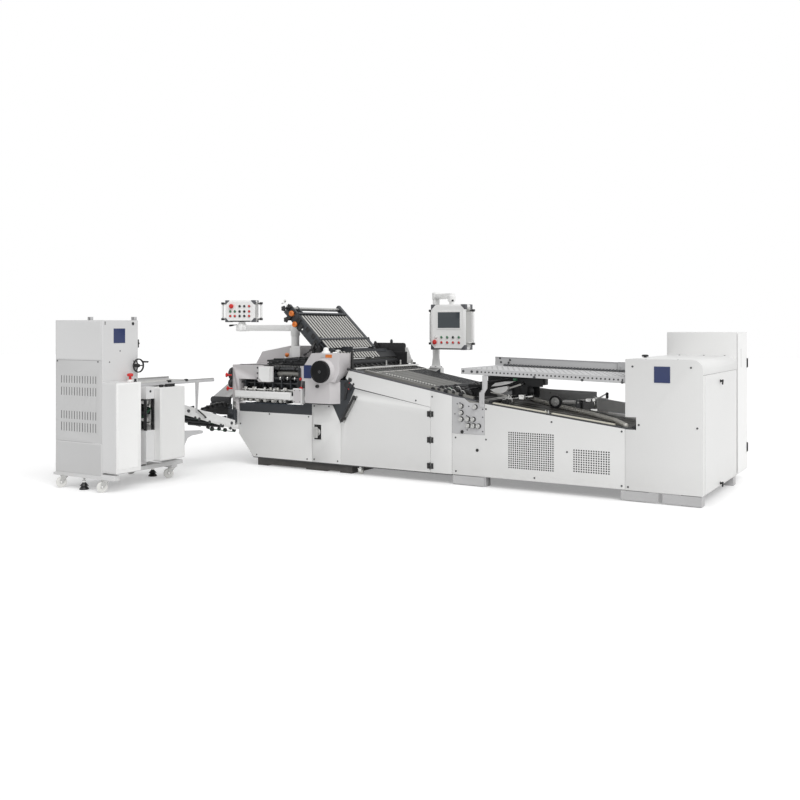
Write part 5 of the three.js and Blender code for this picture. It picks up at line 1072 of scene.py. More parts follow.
class LINE_OT_delivery(bpy.types.Operator):
    """Adds the delivery conveyor's belts, rollers, handle and the deck's edge."""

    bl_idname = "folding_line.delivery"
    bl_label = "Delivery conveyor"

    def execute(self, context):
        slope = (440 - 671) / 802

        def on(y, rise):
            """Height over the conveyor's sloping bed."""
            return 671 + slope * (y + 862) + rise

        belts = []
        for i in range(5):
            x = -505 + i * 98
            belts.append(profile(x, [(y, on(y, up)) for y, up in ((-838, 22), (-76, 22), (-64, 8),
                (-64, -8), (-76, -22), (-838, -22), (-852, -8), (-852, 8))], 62, 2))
        done("delivery_belts", "belt weave", belts)
        done("delivery_rollers", "roller rubber", [rod((-517, y, on(y, 47)),
            (-12, y, on(y, 47)), 15, 20) for y in (-730, -560, -390, -220, -110)])
        rests = []
        for y in (-730, -560, -390, -220, -110):
            rests.append(panel((-11, y - 20, on(y, 16)), (-4.2, y + 20, on(y, 70)), 2, 6, 1.5,
                RIGHT))
        done("delivery_roller_rests", "frame paint", rests)
        done("delivery_under_rollers", "roller rubber",
            [rod((-517, y, on(y, -52)), (-2, y, on(y, -52)), 17, 20) for y in (-700, -480, -260)])
        done("delivery_hubs", "dark steel", [turned((-4, y, on(y, up)), RIGHT,
            [(-1, 17), (7, 17), (10, 13), (10, 6), (6, 5)], 20)
            for y, up in ((-800, 0), (-640, -52), (-480, -52), (-300, -52), (-140, -52),
            (-120, 10))])
        done("delivery_handle", "black plastic", tube([(-4, -680, 655), (20, -676, 650),
            (26, -660, 635), (26, -575, 575), (20, -556, 562), (-4, -550, 566)], 8))
        end = [panel((-120, -64, 462), (-12, -14, 612), 3, 12, 2, RIGHT),
            panel((-160, -50, 560), (-96, 0, 668), 3, 10, 2),
            rod((-96, -70, 500), (-96, 10, 500), 28, 28, 3),
            rod((-60, -74, 560), (-60, 4, 560), 22, 28, 3),
            rod((-140, -60, 620), (-90, -60, 640), 18, 20, 3)]
        done("delivery_end_bracket", "frame paint", end)
        below = [rod((-30, y, z), (-6, y, z), r, 24, 2)
            for y, z, r in ((-486, 456, 20), (-423, 428, 24), (-310, 418, 20), (-212, 397, 22),
            (-61, 383, 22))]
        below += [rod((-60, y, z), (-8, y, z), 20, 20, 2)
            for y, z in ((-540, 650), (-460, 668), (-391, 680), (-310, 690), (-228, 690),
            (-160, 670))]
        below.append(recess(profile(-40, [(-565, 640), (-565, 668), (-391, 700), (-228, 710),
            (-145, 690), (-145, 560), (-277, 575)], 12, 3), RIGHT, 10, 2))
        done("delivery_dark_rollers", "black plastic", below)
        done("delivery_strap", "belt weave", profile(-20,
            [(-486, 432), (-61, 360), (-61, 368), (-486, 440)], 14, 1.5))
        done("deck_edge_rod", "black plastic", tube([(-366, -30, 664), (-370, -58, 674),
            (-330, -66, 671), (-110, -66, 671)], 7))
        wheels = [turned((x, -72, 662), RIGHT, [(0, 16), (2, 18), (22, 18), (24, 16), (24, 8)], 20)
            for x in (-350, -300, -250, -200, -150)]
        shaft = rod((-362, -72, 662), (-104, -72, 662), 8, 14)
        done("deck_front_wheels", "roller rubber", [shaft, *wheels])
        return {"FINISHED"}


BUTTON_ROWS = {"red": "red plastic", "green": "green plastic", "black": "black plastic",
               "white": "white enamel"}


def push_buttons(places, front):
    """Push buttons with their bezels, on a control box's front."""
    made = {}
    for x, z, tone in places:
        cap = turned((x, front + 0.4, z), FRONT, [(0, 13), (9, 13), (11.5, 11), (12, 5)], 20)
        ring = turned((x, front + 0.4, z), FRONT, [(0, 17.5), (3, 17.5), (5, 15.5), (5, 13.4),
            (1, 13.2)], 20)
        made.setdefault(BUTTON_ROWS[tone], []).append(cap)
        made.setdefault("cast aluminium", []).append(ring)
    return made


def corners(width, depth, low, height, size):
    """Corner castings of a control box, at its front and its back."""
    made = []
    for sx in (-1, 1):
        for z in (low, low + height):
            sz = 1 if z == low else -1
            x = sx * width / 2
            points = [(x + sx * 3, 0, z - sz * 3), (x - sx * size, 0, z - sz * 3),
                (x - sx * size, 0, z + sz * 9), (x - sx * 9, 0, z + sz * size),
                (x + sx * 3, 0, z + sz * size)]
            for y, out in ((-depth / 2 - 3, 1), (depth / 2 + 3, -1)):
                made.append(plate([(px, y, pz) for px, _, pz in points], (0, out * depth * 0.3, 0),
                    4, 3))
    return joined(made)


class LINE_OT_boxes(bpy.types.Operator):
    """Details both control boxes: front plates, buttons, screen, corners and clamps."""

    bl_idname = "folding_line.boxes"
    bl_label = "Control boxes"

    def execute(self, context):
        self.left()
        self.right()
        return {"FINISHED"}

    def face(self, name, body, width, depth, low, height, size):
        """Front plate, back plate, corners and handle sleeves of a box."""
        front = panel((-width / 2 + 16, -depth / 2 - 2.5, low + 14),
            (width / 2 - 16, -depth / 2 + 0.4, low + height - 14), 1.2, 5, 0.8)
        back = panel((-width / 2 + 16, depth / 2 - 0.4, low + 14),
            (width / 2 - 16, depth / 2 + 2.5, low + height - 14), 1.2, 12, 1, BACK)
        done(f"{name}_face", "white enamel", [front, back], body)
        done(f"{name}_corners", "dark casting", corners(width, depth, low, height, size), body)
        middle, reach = low + height / 2, height * 0.37
        done(f"{name}_grips", "white enamel", [turned((s * (width / 2 + 56), 0,
            middle - reach * 0.82), UP, [(0, 9.4), (4, 13), (reach * 1.64 - 4, 13),
            (reach * 1.64, 9.4)], 20) for s in (-1, 1)], body)
        ends = [panel((s * (width / 2 + 56) - 15, -22, middle + e * reach - 13),
            (s * (width / 2 + 56) + 15, 22, middle + e * reach + 13), 5, 6, 2, FRONT, 3)
            for s in (-1, 1) for e in (-1, 1)]
        rods = [rod((s * (width / 2 + 20), y, middle + e * reach),
            (s * (width / 2 + 50), y, middle + e * reach), 6, 12) for s in (-1, 1) for e in (-1, 1)
            for y in (-14, 14)]
        foot = panel((-width / 2 + 50, -depth / 2 - 3.4, low + 1),
            (width / 2 - 50, -depth / 2 - 0.4, low + 13), 1, 3, 0.8)
        done(f"{name}_handle_ends", "black plastic", [*ends, *rods, foot], body)
        done(f"{name}_lugs", "cast aluminium", [panel((s * width / 2 + min(0, s * 22), -26,
            middle + e * reach - 12), (s * width / 2 + max(0, s * 22), 26,
            middle + e * reach + 12), 3, 5, 2) for s in (-1, 1) for e in (-1, 1)], body)
        done(f"{name}_sides", "cast aluminium", [panel((s * width / 2 + min(0, s * 3),
            -depth / 2 + 22, low + 30), (s * width / 2 + max(0, s * 3), depth / 2 - 22,
            low + height - 30), 1, 8, 1, (s, 0, 0)) for s in (-1, 1)], body)

    def buttons(self, name, body, places, front):
        """The buttons of a box, one piece for each finish."""
        for label, parts in push_buttons(places, front).items():
            done(f"{name}_{label.split()[0]}_buttons", label, parts, body, slot="")

    def mushroom(self, name, body, x, y, z):
        """Wide red cap over a stop button."""
        done(name, "red plastic", turned((x, y, z), FRONT,
            [(0, 19), (3, 25), (8, 27), (15, 27), (20, 24), (23, 16), (23.5, 6)], 32), body)

    def places(self, columns, rows):
        """Place and tone of each button, from the tones of each row."""
        return [(x, z, tone) for z, tones in rows for x, tone in zip(columns, tones) if tone]

    def left(self):
        """The left box, with three rows of buttons."""
        bench((-235, 330, 1563.3), "Z", 20)
        self.face("left_box", "left_box", 360, 130, 36, 250, 46)
        places = self.places((-118, -62, -3, 54, 113), (
            (219, (None, None, "black", "black", "red")),
            (158, ("green", "green", "black", "black", "red")),
            (105, ("red", "red", "black", "black", "red"))))
        self.buttons("left_box", "left_box", places, -67)
        self.mushroom("left_stop_cap", "left_stop", -99, -80, 218.5)
        bench((545, 330, 0))
        arm = [turned((-780, 0, 1490), UP, [(0, 44), (8, 56), (62, 56), (74, 50)], 40),
            panel((-838, -47, 1492), (-690, 47, 1557), 14, 16, 3, FRONT, 4),
            turned((-780, 0, 1560.6), UP, [(0, 50), (12, 50), (16, 42), (36, 40)], 36),
            panel((-120, -46, 1494), (-40, 46, 1566), 9, 12, 3, FRONT, 3),
            turned((0, 0, 1500), UP, [(-60, 49), (-52, 53), (50, 53), (64, 50), (70, 42)], 36),
            turned((0, 0, 1310), UP, [(-10, 43), (-6, 47), (30, 47), (36, 43)], 36)]
        done("left_arm_joints", "white enamel", arm, "left_arm")
        done("left_arm_clamp", "black plastic", [rod((-822, -36, 1566), (-862, -58, 1562), 5, 12),
            turned((-858, -56, 1562), (-0.9, -0.4, -0.12), [(0, 8), (34, 12), (50, 11), (56, 5)],
            16)], "left_arm")
        bench()

    def right(self):
        """The right box, with its screen and two rows of buttons."""
        bench((2061, 1232, 1287))
        self.face("right_box", "right_box", 430, 180, 0, 504, 54)
        done("screen_bezel", "white enamel", panel((-138, -98, 230), (164, -92, 431), 3, 10, 3),
            "right_box")
        glass = block((-126, -96.6, 242), (152, -94.4, 419), 0.8)
        done("screen", "screen glass", recess(glass, FRONT, 3, 0.5), "right_box")
        places = self.places((-152, -79, -6, 67, 140), (
            (138, ("white", "green", "green", "black", "green")),
            (80, (None, "red", "red", "red", "red"))))
        self.buttons("right_box", "right_box", places, -92)
        self.mushroom("right_stop_cap", "right_stop", -157, -105, 83.2)
        bench((1791, 1361.7, 0))
        base = turned((0, 0, 1082), UP, [(-2, 62), (6, 62), (14, 50), (90, 43), (96, 41.5)], 36)
        bolts = [turned((60 * math.cos(a), 60 * math.sin(a), 1081.6), UP,
            [(0, 9), (6, 9), (8, 6), (8, 3)], 6) for a in (0.4, 1.97, 3.54, 5.1)]
        done("right_post_collar", "white enamel", base)
        done("right_post_bolts", "dark steel", bolts)
        bench((1791, 1361.7, 0), "Z", -25.7)
        done("right_arm_joints", "white enamel", [turned((0, 0, 1920), UP,
            [(-4, 47), (8, 47), (18, 40), (24, 26)], 36),
            turned((300, 0, 1828), UP, [(1, 41), (10, 44), (60, 44), (66, 40)], 36)], "right_arm")
        done("right_arm_clamp", "black plastic", [rod((300, 0, 1836), (362, -34, 1836), 6, 12),
            turned((352, -30, 1836), (0.86, -0.5, 0), [(0, 9), (36, 12), (58, 11), (64, 5)], 16)],
            "right_arm")
        bench()


class LINE_OT_table(bpy.types.Operator):
    """Adds the register table's bands, guide, rollers and entry, and the rear guard's pieces."""

    bl_idname = "folding_line.table"
    bl_label = "Register table"

    def execute(self, context):
        bench(*REGISTER)
        bands = []
        for y, width in ((300, 150), (462, 150), (624, 150), (786, 110)):
            bands.append(panel((70, y, -0.2), (960, y + width, 3), 1.5, 5, 0.8, UP))
        done("table_bands", "belt rubber", bands)
        done("table_ridges", "dark steel", [block((58, y, -0.2), (960, y + 5, 3.4), 1)
            for y in range(908, 1340, 24)])
        done("table_head_plates", "slat steel", [panel((-8, y, 3.2), (190, y + 118, 9), 2, 9, 1.5,
            UP) for y in range(250, 1260, 140)])
        # Painted shade in the head plates' slots: dark strips
        done("table_head_slots", "dark parts and painted shade", [panel((20, y, 8), (168, y + 12, 12), 1, 3, 1.5,
            UP) for y in range(274, 1340, 46)])
        ball = turned((302, 266, 6), UP, [(0, 3), (2, 8), (7, 11), (12, 10), (17, 5), (18, 2)], 14)
        done("guide_balls", "slat steel", row(ball, 18, (34.5, 0, 0)))
        done("guide_cage", "dark steel", [block((286, 249, -0.2), (930, 256, 10), 2),
            block((286, 276, -0.2), (930, 283, 10), 2),
            block((60, 236, -0.2), (960, 242, 5), 1.5)], slot="aluminium")
        edge = panel((8, 4, -0.2), (1500, 40, 12), 2, 6, 2, UP)
        apron = panel((40, 44, -0.2), (960, 228, 4), 2, 10, 1.5, UP)
        done("table_edge", "dark casting", [edge, apron], slot="steel")
        self.gears()
        bench()
        self.entry()
        guard = []
        for low, high, top, z, rise in ((797, 891, 841, 1308, 111), (898, 998, 941, 1301, 70)):
            guard.append(sheet(1384, [(low, z), (high, z), (top + 9, z + rise),
                (top - 9, z + rise)], 14, 4, 2))
        guard.append(panel((930, 1376, 1100), (1392, 1381, 1250), 2, 12, 1.5))
        done("guard_brackets", "black paint", guard)
        done("guard_pin", "frame paint", [block((1156, 1378, 1352), (1186, 1398, 1384), 3),
            turned((1171, 1388, 1382), UP, [(0, 11), (8, 11), (12, 8)], 16)])
        done("table_side_bracket", "cover enamel", [panel((1364, 1380, 1118), (1398, 1400, 1300),
            4, 6, 2), sheet(1386, [(1392, 1118), (1470, 1104), (1408, 1270), (1392, 1296)], 8, 2)])
        done("side_bracket_foot", "black plastic", block((1452, 1380, 1098), (1500, 1402, 1128), 5,
            3))
        return {"FINISHED"}

    def gears(self):
        """Dark rollers, wheels and light skins past the table's bands."""
        # Painted shade under the rollers past the bands: a dark floor
        done("register_pit", "dark parts and painted shade", panel((968, 46, -0.2), (1452, 1376, 5), 2, 14, 2,
            UP))
        done("register_rollers", "dark parts and painted shade", [rod((x, 44, z), (x, 1376, z), r, 24, 2)
            for x, z, r in ((986, 16, 18), (1050, 26, 12), (1130, 24, 20), (1216, 30, 12),
            (1300, 26, 20))], slot="steel")
        done("register_wheels", "black plastic", [turned((x, y, z), BACK,
            [(0, r * 0.8), (3, r), (24, r), (27, r * 0.8), (27, r * 0.4)], 22)
            for x, y, z, r in ((1050, 120, 26, 34), (1050, 210, 26, 30), (1130, 150, 24, 42),
            (1216, 110, 34, 38), (1216, 240, 30, 34), (1300, 160, 26, 44), (1360, 110, 40, 36),
            (1050, 420, 26, 32), (1216, 520, 30, 34), (1130, 700, 24, 40), (1050, 900, 26, 30))])
        skins = []
        for x, y, rise, bend in ((1040, 120, 44, 0.006), (1120, 96, 60, 0.02),
                (1222, 84, 96, 0.02), (1180, 60, 58, 0.012), (1290, 60, 70, 0.02)):
            arc = [(x + 13 * i, y, rise - bend * (13 * i - 20) ** 2) for i in range(7)]
            skins.append(plate(arc + [(a, b, c - 7) for a, b, c in arc[::-1]], (0, 16, 0), 2, 2))
        done("register_skins", "cast aluminium", skins)
        done("register_green_catch", "green plastic", panel((1118, 128, 30), (1150, 152, 52), 3, 5,
            2, UP))

    def entry(self):
        """Light slotted plates, a bar and dark discs where the sheet meets the table."""
        # Painted shade under the entry plates: a dark floor
        done("entry_floor", "dark parts and painted shade", panel((1232, 140, 1080), (1500, 1376, 1092), 2, 10, 2,
            UP))
        plates, slots = [], []
        for low, high in ((150, 420), (450, 700), (730, 980), (1010, 1230), (1260, 1376)):
            plates.append(panel((1330, low, 1098), (1494, high, 1104), 2, 8, 1.2, UP))
            slots += [panel((1352, y, 1102), (1470, y + 14, 1106), 1, 3, 2, UP)
                for y in range(low + 28, high - 30, 52)]
        done("entry_plates", "slat steel", plates)
        # Painted shade in the entry plates' slots: dark strips
        done("entry_slots", "dark parts and painted shade", slots)
        done("entry_bar", "chrome", rod((1540, 60, 1098), (1540, 1376, 1098), 13, 24, 2))
        discs = [turned((1296, y, 1108), BACK, [(0, 17), (3, 22), (20, 22), (23, 17), (23, 8)], 22)
            for y in range(200, 1370, 106)]
        discs += [rod((1296, 150, 1108), (1296, 1376, 1108), 9, 16),
            panel((1436, 122, 1084), (1456, 150, 1290), 3, 5, 1.5, RIGHT)]
        done("entry_discs", "black plastic", discs)
        done("entry_pins", "cast aluminium", [turned((x, y, 1104), UP,
            [(0, 13), (4, 13), (6, 9), (52, 9), (56, 4)], 18)
            for x, y in ((1420, 1180), (1400, 900), (1468, 1370))])


def back_line(x):
    """Height of the return table at a place along the line."""
    return 799 - FALL * (x - 3065)


VALVES = [(2816, 770), (2968, 767), (2816, 706), (2816, 643), (2890, 647), (2947, 647),
          (2893, 584), (2950, 584), (3004, 585)]


class LINE_OT_valves(bpy.types.Operator):
    """Turns the valve knobs and puts the small screws on the valve plate."""

    bl_idname = "folding_line.valves"
    bl_label = "Valve knobs"

    def execute(self, context):
        x, z = VALVES[0]
        shifts = [(a - x, 0, b - z) for a, b in VALVES[1:]]
        base = turned((x, 0.3, z), FRONT, [(0, 25), (4, 25), (6, 20), (12, 19), (12, 14)], 28)
        done("valve_collars", "black plastic", copies(base, shifts))
        knob = turned((x, -8, z), FRONT, [(0, 14), (6, 19), (8, 20.5), (24, 20.5), (27, 18),
            (28, 12), (26, 9), (26.5, 3)], 28)
        done("valve_knobs", "cast aluminium", copies(knob, shifts))
        done("valve_plug", "black plastic", turned((2824, 0.3, 519), FRONT,
            [(0, 17), (5, 17), (8, 13), (16, 12), (18, 8)], 24))
        small = [(2770, 0, 790), (2800, 0, 800), (2896, 0, 770), (2874, 0, 678), (2879, 0, 540),
            (3046, 0, 748), (3046, 0, 672), (3046, 0, 533), (3060, -6, 1046), (3038, -6, 938),
            (3022, -6, 918), (2745, 0, 690)]
        done("valve_plate_screws", "dark steel", screws(small, size=6.5))
        done("valve_post_face", "fence enamel", sheet(-6.2,
            [(3044, 806), (3061, 806), (3061, 897), (3093, 948), (3093, 1060), (3044, 1060),
            (3044, 940), (3044, 906)], -2.4, 0.8))
        return {"FINISHED"}


class LINE_OT_loading(bpy.types.Operator):
    """Details the loading table: holes, balls, screws, fence end and what is below it."""

    bl_idname = "folding_line.loading"
    bl_label = "Loading table"

    def execute(self, context):
        bench(*LOADING)
        # Painted shade in the rail's holes: dark shallow discs
        hole = turned((222, -2.3, -28), FRONT, [(0, 8), (0.9, 8), (0.9, 6), (0.4, 5.8)], 12)
        done("rail_holes", "painted hole shade", row(hole, 36, (39.7, 0, 0)))
        heads = [(26, -2.5, -29), (118, -2.5, -29), (178, -2.5, -29), (770, -2.5, -50),
            (1238, -2.5, -50), (1610, -2.5, -50)]
        done("rail_screws", "dark steel", screws(heads, size=13))
        done("rail_face_plate", "fence enamel", panel((0, -2.6, -57.6), (1640, 0.2, -1), 1.2, 4,
            0.8))
        ball = turned((130, 742, -0.3), UP, [(0, 14), (4, 18), (12, 17), (19, 12), (23, 4)], 12)
        rows = [row(ball, 46, (33, 0, 0))]
        second = turned((146, 706, -0.3), UP, [(0, 9), (3, 12), (7, 11), (10, 7), (12, 3)], 12)
        rows.append(row(second, 45, (33, 0, 0)))
        done("table_balls", "dark steel", rows)
        # Painted shade in the deck's pits: dark shallow discs
        pits = turned((120, 90, -0.3), UP, [(0, 9), (1, 9), (1, 7), (0.4, 6.5)], 12)
        row(pits, 26, (58, 0, 0))
        row(pits, 5, (0, 120, 0))
        done("deck_pits", "painted hole shade", pits)
        holes = [(56, 778.6, 78), (68, 778.6, 36), (170, 778.6, 62), (156, 778.6, 34)]
        done("fence_screws", "dark steel", screws(holes, size=12))
        done("fence_fold", "fence enamel", panel((0, 774, 84), (1312, 787, 91.6), 1.5, 3, 0.6, UP))
        bench()
        end = recess(sheet(786, [(4122, 1100), (4443, 1092), (4443, 1196), (4122, 1200)], 14, 2),
            FRONT, 6, 1)
        done("fence_end", "fence enamel", [end, screw_head(4150, 786, 1150, size=9),
            screw_head(4410, 786, 1146, size=9)])
        self.suction()
        return {"FINISHED"}

    def suction(self):
        """Dark suction box, rods, catch and curved white deflectors under the table, and dark
        plates that paint the shade there.
        """
        done("suction_box", "black paint", [panel((3215, 470, 968), (3492, 560, 1104), 6, 14, 4,
            FRONT, 3), panel((3180, 500, 1040), (3620, 540, 1112), 4, 8, 2)])
        done("deflectors", "white enamel", [sheet(200, line, 60, 2) for line in (
            ((3038, 956), (3082, 992), (3188, 1010), (3284, 1013), (3220, 986), (3114, 964)),
            ((3028, 926), (3114, 949), (3210, 967), (3226, 948), (3188, 908), (3135, 886),
            (3071, 899)))])
        done("suction_rods", "dark steel", [rod((2880, 280, 985), (3210, 280, 1040), 9, 16),
            rod((2900, 700, 1000), (3240, 700, 1060), 9, 16),
            rod((2860, 60, 930), (2860, 760, 930), 12, 18)])
        done("suction_light_rod", "slat steel", [rod((3241, 200, 948), (3367, 200, 991), 10, 18),
            rod((3040, 190, 900), (3215, 190, 872), 6, 14)])
        done("suction_rod_end", "black plastic", turned((3360, 200, 989), (0.95, 0, 0.32),
            [(0, 12), (4, 18), (30, 18), (34, 12)], 20))
        done("suction_green_catch", "green plastic", panel((3268, 210, 1020), (3304, 240, 1042), 3,
            5, 2))
        # Painted shade under the loading table: dark plates fill the gaps there
        done("suction_shades", "dark parts and painted shade", [panel((3303, 300, 962), (3542, 306, 1036), 2, 8,
            2), panel((2740, 300, 850), (3060, 306, 965), 2, 8, 2),
            panel((2900, 420, 930), (3330, 426, 1104), 2, 8, 2)])


class LINE_OT_return(bpy.types.Operator):
    """Dresses the return table: belts, coil guide, lamp strips, clamps and side plates."""

    bl_idname = "folding_line.return_table"
    bl_label = "Return table"

    def execute(self, context):
        bench((3075, 3.3, 798), "Y", math.degrees(math.atan(FALL)))
        done("return_belts", "return belt", [panel((14, y, -0.2), (1455, y + 74, 3), 1.2, 4, 0.8,
            UP) for y in (150, 290, 430, 570, 710, 850)])
        done("lamp_strips", "lamp cover", [panel((low, 16, -0.2), (high, 60, 25), 4, 8, 2, UP, 3)
            for low, high in ((62, 606), (666, 1268))])
        done("return_edge", "dark steel", [block((0, 4, -0.2), (1462, 12, 16), 2),
            block((0, 12, -0.2), (1462, 30, 4), 1.2)])
        done("return_posts", "cast aluminium", [turned((590 + i * 28, 62, -0.2), UP,
            [(0, 11), (18, 11), (24, 8), (36, 7), (38, 3)], 16) for i in range(2)])
        done("return_rollers", "dark steel", [rod((x, 40, 22), (x, 980, 22), 15, 20)
            for x in (24, 1436)])
        bench()
        self.coil()
        self.guard()
        self.clamps()
        return {"FINISHED"}

    def coil(self):
        """Coiled guide that curves over the table: one ring, copied along its line."""
        path = [(3101, 918), (3340, 716), (3599, 601), (3952, 472), (4255, 294), (4440, 60)]
        rings = []
        for (xa, ya), (xb, yb) in zip(path, path[1:]):
            count = max(2, round(math.dist((xa, ya), (xb, yb)) / 26))
            for i in range(count):
                t = i / count
                x, y = xa + (xb - xa) * t, ya + (yb - ya) * t
                rings.append((x, y, back_line(x) + 24, xb - xa, yb - ya))
        done("coil_guide", "coil guide", [turned((x, y, z), (dx, dy, -FALL * dx),
            [(0, 9), (3, 21), (15, 21), (18, 9), (26, 9)], 12) for x, y, z, dx, dy in rings])

    def guard(self):
        """Rear side plates: a dark plate that falls along the table and a white one."""
        dark = sheet(802, [(3085, 916), (3905, 900), (3905, 712), (3180, 792), (3080, 806)], 8, 2)
        done("return_side_plate", "fence enamel", recess(dark, FRONT, 8, 1.5), slot="dark_frame")
        white = sheet(820, [(3905, 842), (4225, 800), (4436, 776), (4436, 676), (3905, 712)], 8, 2)
        done("return_white_plate", "white enamel", recess(white, FRONT, 8, 1))
        spots = [(3240, 801.8, 900), (3420, 801.8, 874), (3620, 801.8, 846), (3820, 801.8, 818)]
        done("side_plate_screws", "brushed steel", screws(spots, size=8))

    def clamps(self):
        """Silver clamps and rods around the press wheel and at the table's head."""
        base = back_line(3799)
        parts = [block((3772, 552, base - 1), (3830, 575, base + 24), 3),
            rod((3660, 596, base + 96), (3960, 640, base + 128), 8, 16),
            rod((3940, 640, base + 30), (3940, 640, base + 150), 9, 16),
            panel((3905, 618, base - 20), (3975, 664, base + 34), 4, 8, 2, UP),
            turned((3940, 640, base + 122), FRONT, [(-20, 22), (20, 22), (26, 16)], 20),
            rod((3960, 640, base + 128), (4060, 655, base + 186), 7, 14),
            panel((3860, 600, base + 96), (3916, 650, base + 134), 5, 8, 2, FRONT, 3)]
        done("press_clamps", "chrome", parts)
        done("press_stop", "black plastic", turned((4060, 655, base + 196), DOWN,
            [(0, 10), (4, 14), (52, 14), (58, 10)], 18))
        lead = back_line(3240)
        front = [rod((3110, 300, lead + 40), (3420, 330, lead + 92), 9, 16),
            panel((3150, 280, lead + 2), (3230, 340, lead + 66), 5, 9, 2, FRONT, 3),
            panel((3290, 290, lead + 50), (3350, 350, lead + 104), 5, 8, 2, FRONT, 3),
            turned((3400, 326, lead + 84), (0.98, 0.1, 0.16), [(-16, 20), (30, 20), (36, 14)], 20),
            rod((3180, 310, lead - 2), (3180, 310, lead + 96), 9, 16),
            rod((3200, 300, lead + 90), (3300, 470, lead + 88), 7, 14)]
        done("lead_clamps", "chrome", front)
        done("lead_wheel", "roller rubber", turned((3205, 200, lead + 30), FRONT,
            [(0, 24), (2, 29), (24, 29), (26, 24), (26, 12), (20, 11)], 24))
        bench((3563, 588, back_line(3563) + 62.4))
        hub = turned((0, -29.8, 0), FRONT, [(0, 44), (3, 44), (5, 40), (5, 30), (2, 28), (2, 16),
            (8, 14), (10, 8)], 32)
        spokes = [sheet(-30, [(12 * math.cos(a - 0.7), 12 * math.sin(a - 0.7)),
            (40 * math.cos(a - 0.14), 40 * math.sin(a - 0.14)),
            (40 * math.cos(a + 0.14), 40 * math.sin(a + 0.14)),
            (12 * math.cos(a + 0.7), 12 * math.sin(a + 0.7))], -6, 1.5)
            for a in (math.pi / 2, math.pi * 7 / 6, math.pi * 11 / 6)]
        done("press_wheel_hub", "cast aluminium", [hub, *spokes], "press_roller")
        done("press_wheel_tyre", "roller rubber", turned((0, 0.4, 0), FRONT,
            [(0, 56), (2, 61.6), (5, 62.6), (26, 62.6), (29, 61.6), (31, 56)], 48), "press_roller")
        bench()


class LINE_OT_cabinet(bpy.types.Operator):
    """Details the turning cabinet and the pump cabinet: plates, latches, folds and hinges."""

    bl_idname = "folding_line.cabinet"
    bl_label = "Turning cabinet"

    def execute(self, context):
        done("cheek_plate", "blue enamel", panel((4699, -4, 1054), (4839, -0.2, 1196), 1.5, 4,
            0.8))
        parts = []
        for z in (1050, 121):
            parts.append(turned((5115.8, 655, z), RIGHT, [(0, 15), (4, 15), (7, 11), (20, 9)], 24))
            bar = block((5134, 646, z - 34), (5148, 664, z + 14), 5, 3)
            parts.append(placed(bar, (5141, 655, z), RIGHT, -25))
        done("end_cover_latches", "black plastic", parts)
        done("end_cover_leaf", "cover enamel", [panel((5115.8, 76, 102), (5118.6, 1370, 1118), 1,
            22, 0.9, RIGHT), panel((5109.6, 3.2, 98), (5115.6, 68.4, 1125), 1, 6, 0.6, RIGHT)])
        done("cover_knob", "black plastic", turned((4470, 520, 1255.8), UP,
            [(0, 15), (6, 13), (8, 30), (20, 32), (26, 26), (28, 10)], 24))
        heads = [(4560, 1400, 1256), (4800, 1400, 1256), (5000, 1400, 1256), (4620, 20, 1256),
            (4900, 20, 1256)]
        done("cover_top_screws", "dark steel", screws(heads, UP, 9))
        done("cover_front_fold", "cover enamel", panel((4445, 8, 1255.8), (5020, 30, 1258.6), 1, 3,
            0.6, UP))
        blocks = []
        for z in (1174, 316):
            leaf = panel((5118.8, 1868, z - 48), (5123.5, 1900, z + 48), 1.5, 6, 1, RIGHT)
            pin = rod((5122, 1903, z - 46), (5122, 1903, z + 46), 6.5, 16, 2)
            blocks += [leaf, pin]
        done("pump_door_hinges", "black plastic", blocks, "pump_door")
        done("pump_door_pull", "cast aluminium", panel((5118.8, 1578, 1140), (5121, 1592, 1322), 1,
            3, 1.4, RIGHT), "pump_door")
        done("pump_door_leaf", "white enamel", panel((5118.8, 1420, 104), (5120.6, 1860, 1476),
            0.7, 14, 0.6, RIGHT), "pump_door")
        done("pump_cabinet_cap", "white enamel", panel((4436, 1409, 1484.8), (5113, 1903, 1489),
            1.5, 10, 1, UP))
        done("foot_faces", "fence enamel", [panel((low, -2.2, 6), (high, 2, 90), 1.2, 8, 1)
            for low, high in ((2722, 3060), (4402, 4738), (4772, 5106))])
        return {"FINISHED"}


